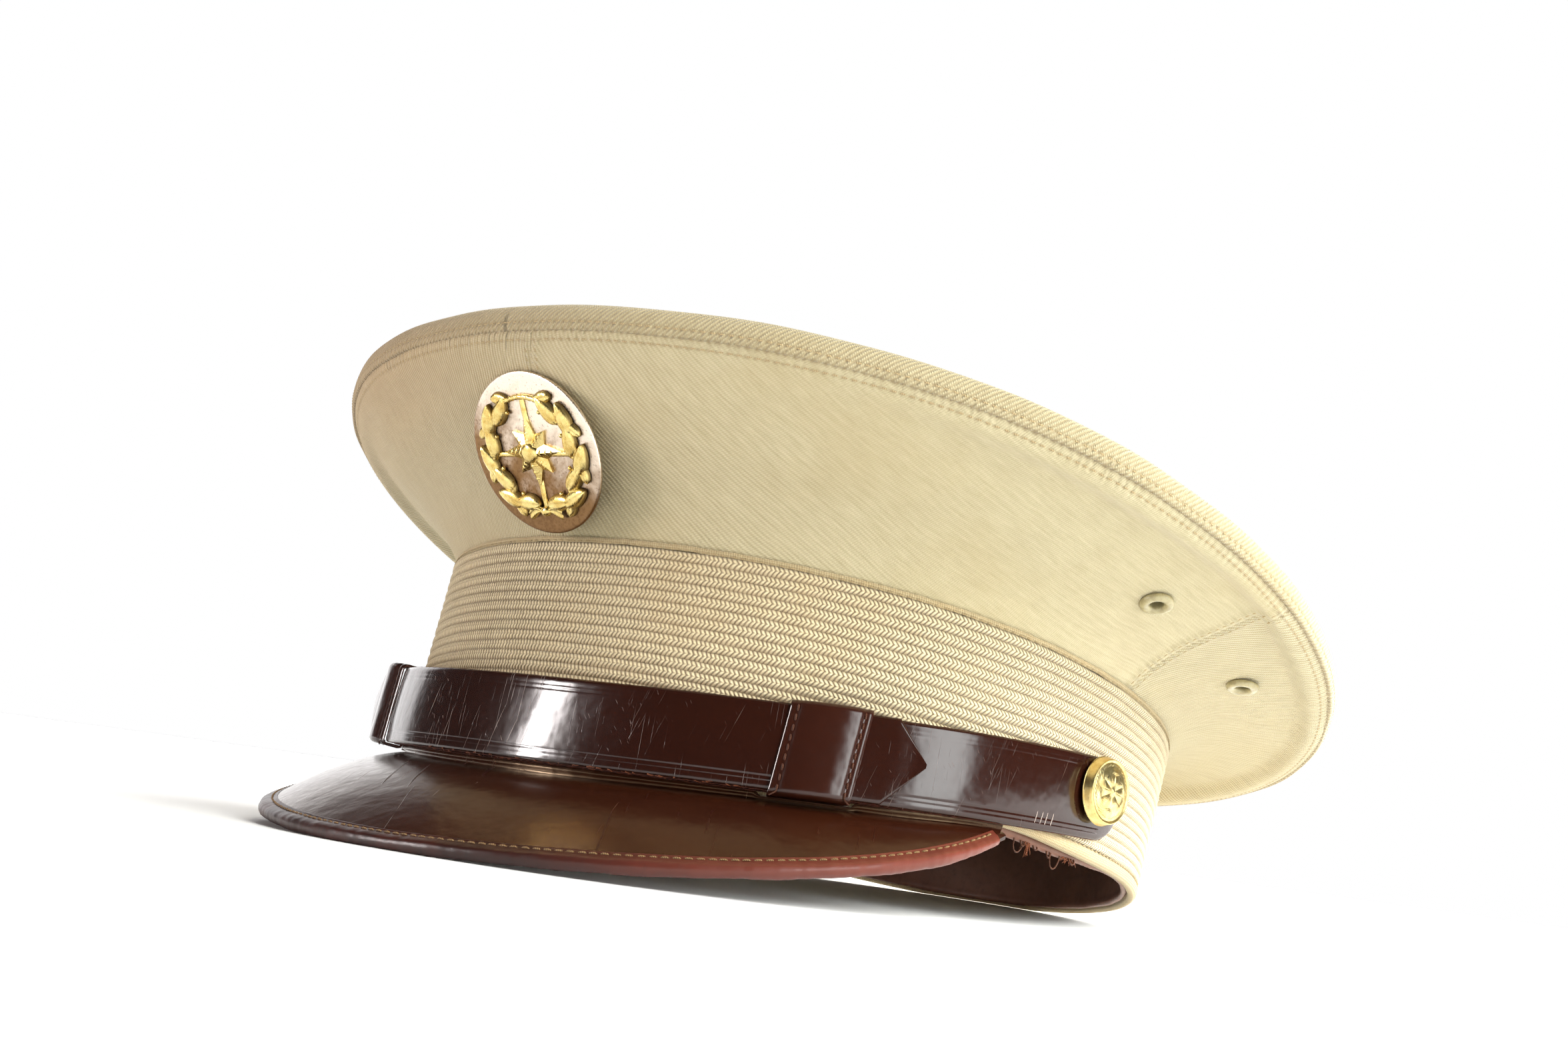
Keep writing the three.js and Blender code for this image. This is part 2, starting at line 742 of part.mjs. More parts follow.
// ---- badge ------------------------------------------------------------------------------------------
const DISC_PROFILE = [
  { r: 1.6, h: 0 },
  { r: DISC_R, h: 0 },
  { r: DISC_R, h: DISC_T },
  { r: 1.6, h: DISC_T },
  { r: 1.6, h: 0 },
];
turned("badge_disc", DISC_PROFILE, 40, discAt, discAxis, PLATE);
{
  // Wreath and star, cast in one with the post: flat-topped relief on the plate.
  const place = new THREE.Matrix4();
  const xAxis = V(1, 0, 0);
  const up = new THREE.Vector3().crossVectors(discAxis, xAxis).normalize();
  if (up.z < 0) up.negate();
  const right = new THREE.Vector3().crossVectors(up, discAxis).normalize();
  place.makeBasis(right, up, discAxis);
  place.setPosition(discAt.clone().addScaledVector(discAxis, DISC_T + GAP));
  // star: eight long rays
  const R_LONG = 8.8,
    R_IN = 4.4,
    STAR_Y = 0.6;
  const star = new THREE.Shape();
  for (let i = 0; i <= 16; i++) {
    const a = (i * PI) / 8 + PI / 2;
    const r = i % 2 ? R_IN : i % 4 ? R_LONG * 0.78 : R_LONG;
    const x = r * cos(a),
      y = STAR_Y + r * sin(a);
    if (i) star.lineTo(x, y);
    else star.moveTo(x, y);
  }
  const slab = (shape, h, z = 0) =>
    toSolid(
      new THREE.ExtrudeGeometry(shape, {
        depth: h,
        bevelEnabled: false,
        curveSegments: 4,
      }).translate(0, 0, z),
    );
  let s = slab(star, 1.6);
  // wreath: an open ring of overlapping leaves either side, tied at the foot
  const WREATH_R = 13.4,
    LEAVES = 7;
  const leaf = (cx, cy, a, L, Wd) => {
    const sh = new THREE.Shape();
    const pt = (x, y) => [
      cx + x * cos(a) - y * sin(a),
      cy + x * sin(a) + y * cos(a),
    ];
    sh.moveTo(...pt(-L / 2, 0));
    for (const [x, y] of [
      [-L * 0.2, -Wd / 2],
      [L * 0.2, -Wd * 0.45],
      [L / 2, 0],
      [L * 0.2, Wd * 0.45],
      [-L * 0.2, Wd / 2],
    ])
      sh.lineTo(...pt(x, y));
    sh.closePath();
    return sh;
  };
  for (const side of [1, -1])
    for (let i = 0; i < LEAVES; i++) {
      const a = -PI / 2 + side * rad(24 + i * 20);
      const r = WREATH_R + (i % 2 ? 0.9 : -0.9);
      s = s.add(
        slab(
          leaf(r * cos(a), r * sin(a), a + side * (PI / 2 - 0.32), 7.0, 3.0),
          1.3,
          0,
        ),
      );
    }
  // the bow that ties the wreath, and a thin ring that carries it all
  const bow = new THREE.Shape();
  [
    [-5.2, -15.6],
    [-1.2, -14.0],
    [1.2, -14.0],
    [5.2, -15.6],
    [4.6, -12.2],
    [1.2, -12.8],
    [-1.2, -12.8],
    [-4.6, -12.2],
  ].forEach(([x, y], i) => (i ? bow.lineTo(x, y) : bow.moveTo(x, y)));
  s = s.add(slab(bow, 1.5));
  const hoop = new THREE.Shape();
  hoop.absarc(0, 0, WREATH_R + 0.7, 0, 2 * PI, false);
  const inner = new THREE.Path();
  inner.absarc(0, 0, WREATH_R - 0.7, 0, 2 * PI, true);
  hoop.holes.push(inner);
  s = s.add(
    toSolid(
      new THREE.ExtrudeGeometry(hoop, {
        depth: 0.7,
        bevelEnabled: false,
        curveSegments: 8,
      }),
    ),
  );
  // spokes that hold the star inside the hoop, low behind it
  for (const a of [0, PI / 2, PI, -PI / 2]) {
    const sp = new THREE.Shape();
    const c = cos(a),
      n = sin(a);
    [
      [2, -0.7],
      [WREATH_R, -0.7],
      [WREATH_R, 0.7],
      [2, 0.7],
    ].forEach(([x, y], i) => {
      const px = x * c - y * n,
        py = x * n + y * c;
      if (i) sp.lineTo(px, py);
      else sp.moveTo(px, py);
    });
    s = s.add(slab(sp, 0.6));
  }
  // post down through the plate and the cloth
  s = s.add(
    toSolid(
      new THREE.CylinderGeometry(1.2, 1.2, 9, 10)
        .rotateX(PI / 2)
        .translate(0, 0, -4.2),
    ),
  );
  const g = fromSolid(s);
  const mesh = add("badge_emblem", g, GILT);
  place.decompose(mesh.position, mesh.quaternion, mesh.scale);
}

// ---- eyelets ----------------------------------------------------------------------------------------------
const EYE_PROFILE = [
  { r: EYE_HOLE, h: 1.0 },
  { r: EYE_HOLE + 0.5, h: 1.5 },
  { r: EYE_R - 0.8, h: 1.4 },
  { r: EYE_R, h: 0.55 },
  { r: 2.3, h: 0.55 },
  { r: 2.3, h: -2.2 },
  { r: EYE_HOLE, h: -2.2 },
  { r: EYE_HOLE, h: 1.0 },
];
for (const e of EYELETS)
  for (const [side, s] of [
    ["left", 1],
    ["right", -1],
  ]) {
    const { at, axis } = eyeAt(e, s);
    turned(`eyelet_${side}_${e.name}`, EYE_PROFILE, 10, at, axis, PAINT);
  }

// ---- stood on the table -------------------------------------------------------------------------------------
cap.rotation.x = -rad(REST_TILT);
cap.position.set(0, REST_Y, REST_Z);
const part = new THREE.Group();
part.add(cap);
export default part;
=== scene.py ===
"""Looks for the peaked cap: cloth crown, ribbed braid band, leather peak and chin strap, gilt metalwork.

The curves are the CAD's own: they are worked out in the cap's frame in millimetres (front -Y, wearer's left +X,
angles from the front) and then tipped back onto the table.
"""

import math

import bpy
import numpy as np
from mathutils import Matrix, Vector

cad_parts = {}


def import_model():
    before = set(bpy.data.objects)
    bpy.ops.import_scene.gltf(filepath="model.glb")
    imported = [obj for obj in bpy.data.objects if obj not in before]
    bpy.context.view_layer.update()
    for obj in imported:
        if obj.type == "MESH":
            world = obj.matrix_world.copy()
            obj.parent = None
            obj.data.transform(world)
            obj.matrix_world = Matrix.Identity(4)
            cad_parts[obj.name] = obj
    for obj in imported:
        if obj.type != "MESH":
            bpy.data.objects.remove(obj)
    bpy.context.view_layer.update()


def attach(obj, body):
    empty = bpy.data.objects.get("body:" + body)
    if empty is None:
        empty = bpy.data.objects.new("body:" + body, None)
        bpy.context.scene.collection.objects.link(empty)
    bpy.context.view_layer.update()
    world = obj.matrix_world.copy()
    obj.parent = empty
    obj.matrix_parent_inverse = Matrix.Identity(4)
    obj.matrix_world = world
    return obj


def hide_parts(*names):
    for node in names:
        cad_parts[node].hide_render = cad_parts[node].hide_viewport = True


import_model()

PI = math.pi
sin, cos, rad = np.sin, np.cos, np.radians
rng = np.random.default_rng(11)

# ---- the CAD's sizes ------------------------------------------------------------------------
GAP = 0.3
HEAD_A, HEAD_B, EGG, FLARE = 102.0, 92.0, 0.078, 0.047
BAND_T = 2.4
RIM_A, RIM_B, RIM_Y = 131.5, 134.8, -7.8
SEAM_IN, SEAM_DOWN = 1.4, 4.2
DOME = 3.0
STRAP_W, STRAP_T = 19.0, 1.6
PEAK_OUT, PEAK_Z, PEAK_RISE, PEAK_POW, PEAK_TH = 35.3, -39.6, 38.0, 1.85, 70.8
PEAK_T, PEAK_BOW, PEAK_U = 1.6, 2.6, 0.965
BIND_T, BIND_W = 0.7, 3.4
SWEAT_T, SWEAT_H = 1.2, 36.0
OFF_REST, OFF_INNER, OFF_OUTER = 0.5, 1.4, 3.3
KEEP_IN, KEEP_T, KEEP_FRONT = 0.3, 0.7, 5.2
BUTTON_UP, BUTTON_TH, STRAP_END = 1.7, 83.5, 90.0
KEEP_L, KEEP_R = (36.2, 46.0), (-46.0, -36.2)
TIP = (49.5, 53.8)
SIDE_SEAM, FRONT_SEAM = 88.0, 3.4
DISC_R, DISC_T, DISC_TILT, DISC_Y, DISC_Z = 19.05, 1.0, 41.0, -119.4, 52.9
EYE_R, EYE_HOLE = 3.9, 1.6
EYELETS = (("front", 77.5, 0.48), ("back", 101.5, 0.52))
TILT, REST_Y, REST_Z = rad(9.9987), 6.95, 17.0636


# ---- curves, arrays in and out -----------------------------------------------------------------
def vec(x, y, z):
    return np.stack(np.broadcast_arrays(x, y, z), -1).astype(float)


def unit(v):
    return v / np.maximum(np.linalg.norm(v, axis=-1, keepdims=True), 1e-9)


def smooth(a, b, x):
    t = np.clip((x - a) / (b - a), 0, 1)
    return t * t * (3 - 2 * t)


def lerp(a, b, t):
    return a + (b - a) * t


def outward(th):
    return unit(vec(HEAD_A * sin(th), -HEAD_B * cos(th), 0 * th))


def head(th, z, off=0.0):
    n = outward(th)
    b = HEAD_B + FLARE * z
    return vec(
        b * sin(th) * (1 + EGG * cos(th)) + off * n[..., 0],
        -HEAD_A * cos(th) + off * n[..., 1],
        z,
    )


def band_bottom(th):
    a = np.degrees(np.abs((th + PI) % (2 * PI) - PI))
    return -14.8 * ((1 + cos(th)) / 2) ** 3.5 + 1.9 * np.exp(-(((a - 68) / 12) ** 2))


def band_top(th):
    return 38.7 + 2.43 * cos(th) - 1.57 * cos(2 * th) + 5.5 * ((1 - cos(th)) / 2) ** 4


def rim_z(th, r=1.0):
    return 62.0 + 19.3 * r * cos(th) - 1.4 * r**2 * cos(2 * th) - 1.3 * r**3 * cos(3 * th)


def rim(th, off=0.0, dz=0.0):
    return vec((RIM_B + off) * sin(th), RIM_Y - (RIM_A + off) * cos(th), rim_z(th) + dz)


def wall_frame(th):
    P = head(th, band_top(th), -0.6) + np.array([0, 0, GAP])
    Q = rim(th, -SEAM_IN, -SEAM_DOWN - 0.45)
    d = Q - P
    n = outward(th)
    dh = (d * n).sum(-1, keepdims=True)
    N = unit(n * d[..., 2:3] - np.array([0, 0, 1.0]) * dh)
    return P, d, N


def wall(th, t, off=0.0):
    P, d, N = wall_frame(th)
    bow = -1.0 * sin(PI * t) - 1.1 * sin(2 * PI * t)
    return P + d * np.asarray(t)[..., None] + N * np.asarray(bow + off)[..., None]


def strap_top(th):
    return 21.85 - 15.26 * cos(th) - 1.57 * cos(2 * th)


def outer_off(d):
    return lerp(OFF_REST, OFF_OUTER, smooth(-76, -56, d))


def inner_off(d):
    return lerp(OFF_INNER, OFF_REST, smooth(56, 76, d))


def world(p):
    y = p[..., 1] * math.cos(TILT) + p[..., 2] * math.sin(TILT) + REST_Y
    z = p[..., 2] * math.cos(TILT) - p[..., 1] * math.sin(TILT) + REST_Z
    return np.stack([p[..., 0], y, np.maximum(z, 0.02)], -1) * 0.001


def world_dir(v):
    return np.stack(
        [
            v[..., 0],
            v[..., 1] * math.cos(TILT) + v[..., 2] * math.sin(TILT),
            v[..., 2] * math.cos(TILT) - v[..., 1] * math.sin(TILT),
        ],
        -1,
    )


def wobble(x, seed, freqs, amp):
    """A smooth irregular curve, periodic in x (radians)."""
    r = np.random.default_rng(seed)
    out = 0 * x
    for f in freqs:
        out = out + sin(f * x + r.uniform(0, 2 * PI)) * r.uniform(0.5, 1)
    return amp * out / math.sqrt(len(freqs))


def arc(P):
    """Length along a row of points, from its first."""
    return np.concatenate([[0], np.cumsum(np.linalg.norm(np.diff(P, axis=0), axis=-1))])


def along(P, s):
    """Points at lengths s along a row of points."""
    a = arc(P)
    return np.stack([np.interp(s, a, P[:, k]) for k in range(P.shape[1])], -1)


# ---- meshes -----------------------------------------------------------------------------------------
class Build:
    """Collects grids and strips of faces in the cap's frame, then makes one object of them."""

    def __init__(self):
        self.v, self.q, self.uv, self.m, self.att, self.n = [], [], [], [], [], 0

    def grid(self, P, UV=None, close=False, mat=0, away=None, toward=None, flip=False, att=None, drop=None):
        nu, nv = P.shape[:2]
        i = np.arange(nu if close else nu - 1)[:, None]
        j = np.arange(nv - 1)[None, :]
        k = (i + 1) % nu
        q = np.stack([i * nv + j, k * nv + j, k * nv + j + 1, i * nv + j + 1], -1).reshape(-1, 4)
        if UV is None:
            UV = np.zeros((nu + 1, nv, 2))
        k = i + 1
        uv = np.stack([UV[i, j], UV[k, j], UV[k, j + 1], UV[i, j + 1]], -2).reshape(-1, 4, 2)
        if drop is not None:
            q, uv = q[~drop.ravel()], uv[~drop.ravel()]
        flat = P.reshape(-1, 3)
        if away is not None or toward is not None:
            a, b, c = flat[q[:, 0]], flat[q[:, 1]], flat[q[:, 3]]
            nrm = np.cross(b - a, c - a)
            ref = a - np.array(away) if away is not None else np.array(toward) - a
            flip = (nrm * ref).sum() < 0
        if flip:
            q, uv = q[:, ::-1], uv[:, ::-1]
        self.v.append(flat)
        self.q.append(q + self.n)
        self.uv.append(uv)
        self.m.append(np.full(len(q), mat))
        self.att.append(np.zeros((len(flat), 4)) if att is None else att.reshape(-1, 4))
        self.n += len(flat)

    def faces(self, P, q, mat=0, uv=None):
        """Loose quads (a triangle repeats its last corner)."""
        P, q = np.asarray(P, float), np.asarray(q)
        self.v.append(P)
        self.q.append(q + self.n)
        self.uv.append(np.zeros((len(q), 4, 2)) if uv is None else uv)
        self.m.append(np.full(len(q), mat))
        self.att.append(np.zeros((len(P), 4)))
        self.n += len(P)

    def make(self, name, mats, slot, nodes=(), flat=False, is_world=False):
        v = np.concatenate(self.v)
        v = v if is_world else world(v)
        q = np.concatenate(self.q)
        uv = np.concatenate(self.uv)
        m = np.concatenate(self.m)
        att = np.concatenate(self.att)
        tri = q[:, 3] == q[:, 2]
        count = np.where(tri, 3, 4)
        keep = np.ones((len(q), 4), bool)
        keep[tri, 3] = False
        me = bpy.data.meshes.new(name)
        me.vertices.add(len(v))
        me.vertices.foreach_set("co", v.astype(np.float32).ravel())
        me.loops.add(int(count.sum()))
        me.loops.foreach_set("vertex_index", q[keep].astype(np.int32))
        me.polygons.add(len(q))
        start = np.concatenate([[0], np.cumsum(count)[:-1]])
        me.polygons.foreach_set("loop_start", start.astype(np.int32))
        me.polygons.foreach_set("loop_total", count.astype(np.int32))
        me.polygons.foreach_set("material_index", m.astype(np.int32))
        me.polygons.foreach_set("use_smooth", np.full(len(q), not flat))
        layer = me.uv_layers.new(name="UVMap")
        layer.data.foreach_set("uv", uv[keep].astype(np.float32).ravel())
        for k, n in enumerate(("rim_s", "rim_d", "side_s", "side_d")):
            if att[:, k].any():
                a = me.attributes.new(n, "FLOAT", "POINT")
                a.data.foreach_set("value", att[:, k].astype(np.float32))
        me.update(calc_edges=True)
        me.validate()
        for mt in mats if isinstance(mats, (list, tuple)) else [mats]:
            me.materials.append(mt)
        ob = bpy.data.objects.new(name, me)
        bpy.context.scene.collection.objects.link(ob)
        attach(ob, "root")
        if nodes:
            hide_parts(*nodes)
        return ob


def stitches(B, C, T, N, half, r, mat=0, sink=0.35, sides=6):
    """Short threads whose ends dive into the work: centres, directions and normals in rows."""
    s = np.array([-1, -0.72, -0.3, 0.3, 0.72, 1.0])
    prof = np.array([0.35, 0.85, 1.0, 1.0, 0.85, 0.35])
    T, N = unit(T), unit(N)
    Bn = unit(np.cross(T, N))
    a = np.arange(sides) * 2 * PI / sides
    half = np.broadcast_to(np.asarray(half, float), (len(C),))
    P = (
        C[:, None, None, :]
        + T[:, None, None, :] * (s[None, :, None, None] * half[:, None, None, None])
        + (Bn[:, None, None, :] * cos(a)[None, None, :, None] + N[:, None, None, :] * sin(a)[None, None, :, None])
        * (r * prof)[None, :, None, None]
        + N[:, None, None, :] * (-sink * 2.2 * r * s**4 - sink * r * 0.3)[None, :, None, None]
    )
    n, m = len(C), len(s)
    base = (np.arange(n) * m * sides)[:, None, None]
    i = np.arange(m - 1)[None, :, None]
    j = np.arange(sides)[None, None, :]
    j2 = (j + 1) % sides
    q = np.stack(
        [base + i * sides + j, base + i * sides + j2, base + (i + 1) * sides + j2, base + (i + 1) * sides + j], -1
    ).reshape(-1, 4)
    u = np.broadcast_to(s[None, :, None] * half[:, None, None] + np.arange(n)[:, None, None] * 3.3, (n, m, sides))
    w = np.broadcast_to(j / sides * 1.0, (n, m, sides))
    UVp = np.stack([u, w], -1).reshape(-1, 2)
    B.faces(P.reshape(-1, 3), q, mat, UVp[q])


def tube(B, P, r, sides=8, mat=0, up=(0, 0, 1), uv_scale=1.0):
    """A round thread or roll along a row of points; r may vary."""
    P = np.asarray(P, float)
    r = np.broadcast_to(np.asarray(r, float), (len(P),))
    T = unit(np.gradient(P, axis=0))
    N = np.zeros_like(P)
    n = np.asarray(up, float)
    for i, t in enumerate(T):
        n = n - t * (n @ t)
        n = n / max(np.linalg.norm(n), 1e-9)
        N[i] = n
    Bn = np.cross(T, N)
    a = np.arange(sides) * 2 * PI / sides
    G = P[None] + (cos(a)[:, None, None] * N + sin(a)[:, None, None] * Bn) * r[None, :, None]
    s = arc(P)
    UV = np.zeros((sides + 1, len(P), 2))
    UV[..., 0] = s[None] * uv_scale
    UV[..., 1] = (np.arange(sides + 1) / sides)[:, None]
    B.grid(G, UV, close=True, mat=mat, flip=False)


# ---- materials ----------------------------------------------------------------------------------------
def srgb(r, g, b):
    out = []
    for c in (r, g, b):
        c = c / 255
        out.append(c / 12.92 if c <= 0.04045 else ((c + 0.055) / 1.055) ** 2.4)
    return (*out, 1.0)


class Mat:
    def __init__(self, name, **sockets):
        self.m = bpy.data.materials.new(name)
        self.m.use_nodes = True
        self.t = self.m.node_tree
        self.t.nodes.clear()
        out = self.t.nodes.new("ShaderNodeOutputMaterial")
        self.b = self.t.nodes.new("ShaderNodeBsdfPrincipled")
        self.t.links.new(self.b.outputs[0], out.inputs[0])
        for k, v in sockets.items():
            self.b.inputs[k.replace("_", " ")].default_value = v

    def node(self, kind, **props):
        n = self.t.nodes.new(kind)
        for k, v in props.items():
            setattr(n, k, v)
        return n

    def put(self, socket, v):
        if isinstance(v, bpy.types.NodeSocket):
            self.t.links.new(v, socket)
        elif v is not None:
            socket.default_value = v

    def math(self, op, a, b=None, c=None, clamp=False):
        n = self.node("ShaderNodeMath", operation=op, use_clamp=clamp)
        for s, v in zip(n.inputs, (a, b, c)):
            self.put(s, v)
        return n.outputs[0]

    def mul(self, a, b):
        return self.math("MULTIPLY", a, b)

    def add(self, a, b):
        return self.math("ADD", a, b)

    def sub(self, a, b):
        return self.math("SUBTRACT", a, b)

    def wave(self, x):
        """0..1 sine of x turns"""
        return self.math("MULTIPLY_ADD", self.math("SINE", self.mul(x, 2 * PI)), 0.5, 0.5)

    def bell(self, x, c, w):
        """1 at x = c, falling off within w"""
        d = self.math("DIVIDE", self.sub(x, c), w)
        return self.math("POWER", math.e, self.mul(self.mul(d, d), -1.0))

    def band(self, x, a, b):
        """0 below a, 1 above b, smooth between"""
        n = self.node("ShaderNodeMapRange", interpolation_type="SMOOTHSTEP")
        self.put(n.inputs["Value"], x)
        n.inputs["From Min"].default_value = a
        n.inputs["From Max"].default_value = b
        return n.outputs["Result"]

    def uv(self):
        n = self.node("ShaderNodeUVMap", uv_map="UVMap")
        s = self.node("ShaderNodeSeparateXYZ")
        self.t.links.new(n.outputs[0], s.inputs[0])
        return s.outputs[0], s.outputs[1], n.outputs[0]

    def place(self):
        return self.node("ShaderNodeTexCoord").outputs["Object"]

    def attr(self, name):
        return self.node("ShaderNodeAttribute", attribute_name=name).outputs["Fac"]

    def combine(self, x, y, z=0.0):
        n = self.node("ShaderNodeCombineXYZ")
        for s, v in zip(n.inputs, (x, y, z)):
            self.put(s, v)
        return n.outputs[0]

    def scale(self, v, s):
        n = self.node("ShaderNodeMapping")
        self.put(n.inputs["Vector"], v)
        n.inputs["Scale"].default_value = s if isinstance(s, tuple) else (s, s, s)
        return n.outputs[0]

    def noise(self, v, scale, detail=3.0, rough=0.55, color=False, distort=0.0):
        n = self.node("ShaderNodeTexNoise")
        self.put(n.inputs["Vector"], v)
        n.inputs["Scale"].default_value = scale
        n.inputs["Detail"].default_value = detail
        n.inputs["Roughness"].default_value = rough
        n.inputs["Distortion"].default_value = distort
        return n.outputs["Color" if color else "Fac"]

    def voronoi(self, v, scale, feature="F1", rand=1.0):
        n = self.node("ShaderNodeTexVoronoi", feature=feature)
        self.put(n.inputs["Vector"], v)
        n.inputs["Scale"].default_value = scale
        n.inputs["Randomness"].default_value = rand
        return n.outputs["Distance"]

    def mix(self, f, a, b, blend="MIX"):
        n = self.node("ShaderNodeMix", data_type="RGBA", blend_type=blend)
        self.put(n.inputs[0], f)
        self.put(n.inputs[6], a)
        self.put(n.inputs[7], b)
        return n.outputs[2]

    def bump(self, h, dist, strength=1.0, normal=None):
        n = self.node("ShaderNodeBump")
        n.inputs["Strength"].default_value = strength
        n.inputs["Distance"].default_value = dist
        self.put(n.inputs["Height"], h)
        if normal is not None:
            self.put(n.inputs["Normal"], normal)
        return n.outputs[0]

    def done(self, color=None, rough=None, normal=None):
        if color is not None:
            self.put(self.b.inputs["Base Color"], color)
        if rough is not None:
            self.put(self.b.inputs["Roughness"], rough)
        if normal is not None:
            self.put(self.b.inputs["Normal"], normal)
        return self.m


# KHAKI_DARK and KHAKI_LIGHT colour the twill's painted groove shade and lit rib tops, and also its darker and lighter
# yarns
KHAKI, KHAKI_DARK, KHAKI_LIGHT = srgb(194, 183, 147), srgb(138, 123, 88), srgb(216, 207, 174)


def twill(name, angle, seam_rows=True, base=KHAKI, fade=False):
    """Cotton twill: ribs across the direction `angle` (of the ribs' normal, degrees) in UV millimetres."""
    M = Mat(name, Roughness=0.82)
    M.b.inputs["Specular IOR Level"].default_value = 0.25
    M.b.inputs["Sheen Weight"].default_value = 0.18
    M.b.inputs["Sheen Roughness"].default_value = 0.5
    u, v, uv = M.uv()
    warp = M.noise(uv, 0.035, 2.0, 0.5)
    warp2 = M.noise(uv, 0.35, 2.0, 0.5)
    ca, sa = math.cos(rad(angle)), math.sin(rad(angle))
    s = M.add(M.mul(u, ca), M.mul(v, sa))
    t = M.sub(M.mul(v, ca), M.mul(u, sa))
    s = M.add(s, M.add(M.mul(warp, 2.2), M.mul(warp2, 0.22)))
    t = M.add(t, M.mul(warp2, 0.3))
    rib = M.wave(M.mul(s, 1 / 0.92))
    dots = M.wave(M.add(M.mul(t, 1 / 0.52), M.mul(s, 0.54)))
    yarn = M.noise(M.combine(M.mul(s, 1.1), M.mul(t, 0.12)), 1.0, 3.0, 0.6)
    fuzz = M.noise(uv, 2.6, 3.0, 0.7)
    if fade:
        px = M.node("ShaderNodeSeparateXYZ")
        M.t.links.new(M.place(), px.inputs[0])
        rib = M.add(0.5, M.mul(M.sub(rib, 0.5), M.sub(0.72, M.mul(M.band(px.outputs[0], 0.01, 0.085), 0.6))))
    height = M.add(M.mul(rib, M.math("MULTIPLY_ADD", dots, 0.45, 0.55)), M.mul(fuzz, 0.5))
    patch = M.noise(M.scale(M.place(), 22.0), 1.0, 4.0, 0.6)
    # painted shade: rib tops and dots are coloured lighter and the grooves between them darker; the yarn and fuzz terms
    # are the yarn's own uneven tone
    weave_shade_and_tone = M.math("MULTIPLY_ADD", rib, 0.5, 0.1)
    weave_shade_and_tone = M.add(weave_shade_and_tone, M.mul(dots, 0.16))
    weave_shade_and_tone = M.add(weave_shade_and_tone, M.mul(M.sub(yarn, 0.5), 0.7))
    weave_shade_and_tone = M.add(weave_shade_and_tone, M.mul(M.sub(fuzz, 0.5), 0.35))
    c = M.mix(M.math("ADD", weave_shade_and_tone, 0.0, clamp=True), KHAKI_DARK, KHAKI_LIGHT)
    c = M.mix(0.3, c, base)
    c = M.mix(M.mul(M.band(patch, 0.42, 0.7), 0.25), c, srgb(172, 154, 112))
    ps = M.node("ShaderNodeSeparateXYZ")
    M.t.links.new(M.place(), ps.inputs[0])
    # painted shade: the cloth at the front on the wearer's right is coloured darker and browner, most strongly near the
    # rim seam, where less light falls
    front_rim_shade = M.mul(M.band(M.mul(ps.outputs[0], -1.0), -0.045, 0.06), M.band(M.mul(ps.outputs[1], -1.0), -0.02, 0.06))
    near_rim = M.band(ps.outputs[2], 0.085, 0.112)
    c = M.mix(M.mul(front_rim_shade, M.math("MULTIPLY_ADD", near_rim, 0.42, 0.12)), c, srgb(160, 126, 88))
    h2 = M.mul(M.noise(uv, 0.12, 3.0, 0.5), 0.9)
    if seam_rows:
        d, along_s = M.attr("rim_d"), M.attr("rim_s")
        jig = M.noise(M.combine(M.mul(along_s, 0.25), 0.0, 0.0), 1.0, 2.0)
        ph = M.add(M.mul(along_s, 1 / 2.1), M.mul(jig, 1.6))
        amp = M.math("MULTIPLY_ADD", M.noise(M.combine(M.mul(along_s, 0.06), 3.1, 0.0), 1.0, 2.0), 2.2, -0.35, clamp=True)
        puck = M.mul(M.mul(M.wave(ph), M.bell(d, 1.2, 1.9)), amp)
        near = M.bell(d, 2.0, 0.38)
        # painted shade: the dimples between the stitches and the rim seam's crease are coloured darker
        c = M.mix(M.mul(M.mul(near, M.sub(1.15, M.wave(ph))), 0.42), c, srgb(126, 104, 68))
        c = M.mix(M.mul(M.mul(M.bell(d, 0.0, 0.5), M.sub(1.1, M.wave(ph))), 0.5), c, srgb(122, 100, 66))
        d2, s2 = M.attr("side_d"), M.attr("side_s")
        ph2 = M.add(M.mul(s2, 1 / 2.1), M.mul(M.noise(M.combine(M.mul(s2, 0.25), 7.0, 0.0), 1.0, 2.0), 1.6))
        puck2 = M.mul(M.wave(ph2), M.bell(d2, 1.2, 1.6))
        # painted shade: the upright seams' crease is coloured darker between the stitches
        c = M.mix(M.mul(M.mul(M.bell(d2, 0.0, 0.3), M.sub(1.1, M.wave(ph2))), 0.3), c, srgb(130, 110, 76))
        seam = M.add(M.mul(puck, 1.0), M.mul(puck2, 1.5))
        seam = M.sub(seam, M.add(M.mul(near, 0.5), M.mul(M.bell(d2, 1.5, 0.35), 0.45)))
        nrm = M.bump(seam, 0.00034, 0.7)
        nrm = M.bump(h2, 0.0006, 0.35, nrm)
    else:
        nrm = M.bump(h2, 0.0006, 0.35)
    nrm = M.bump(height, 0.00028, 0.9, nrm)
    return M.done(c, None, nrm)


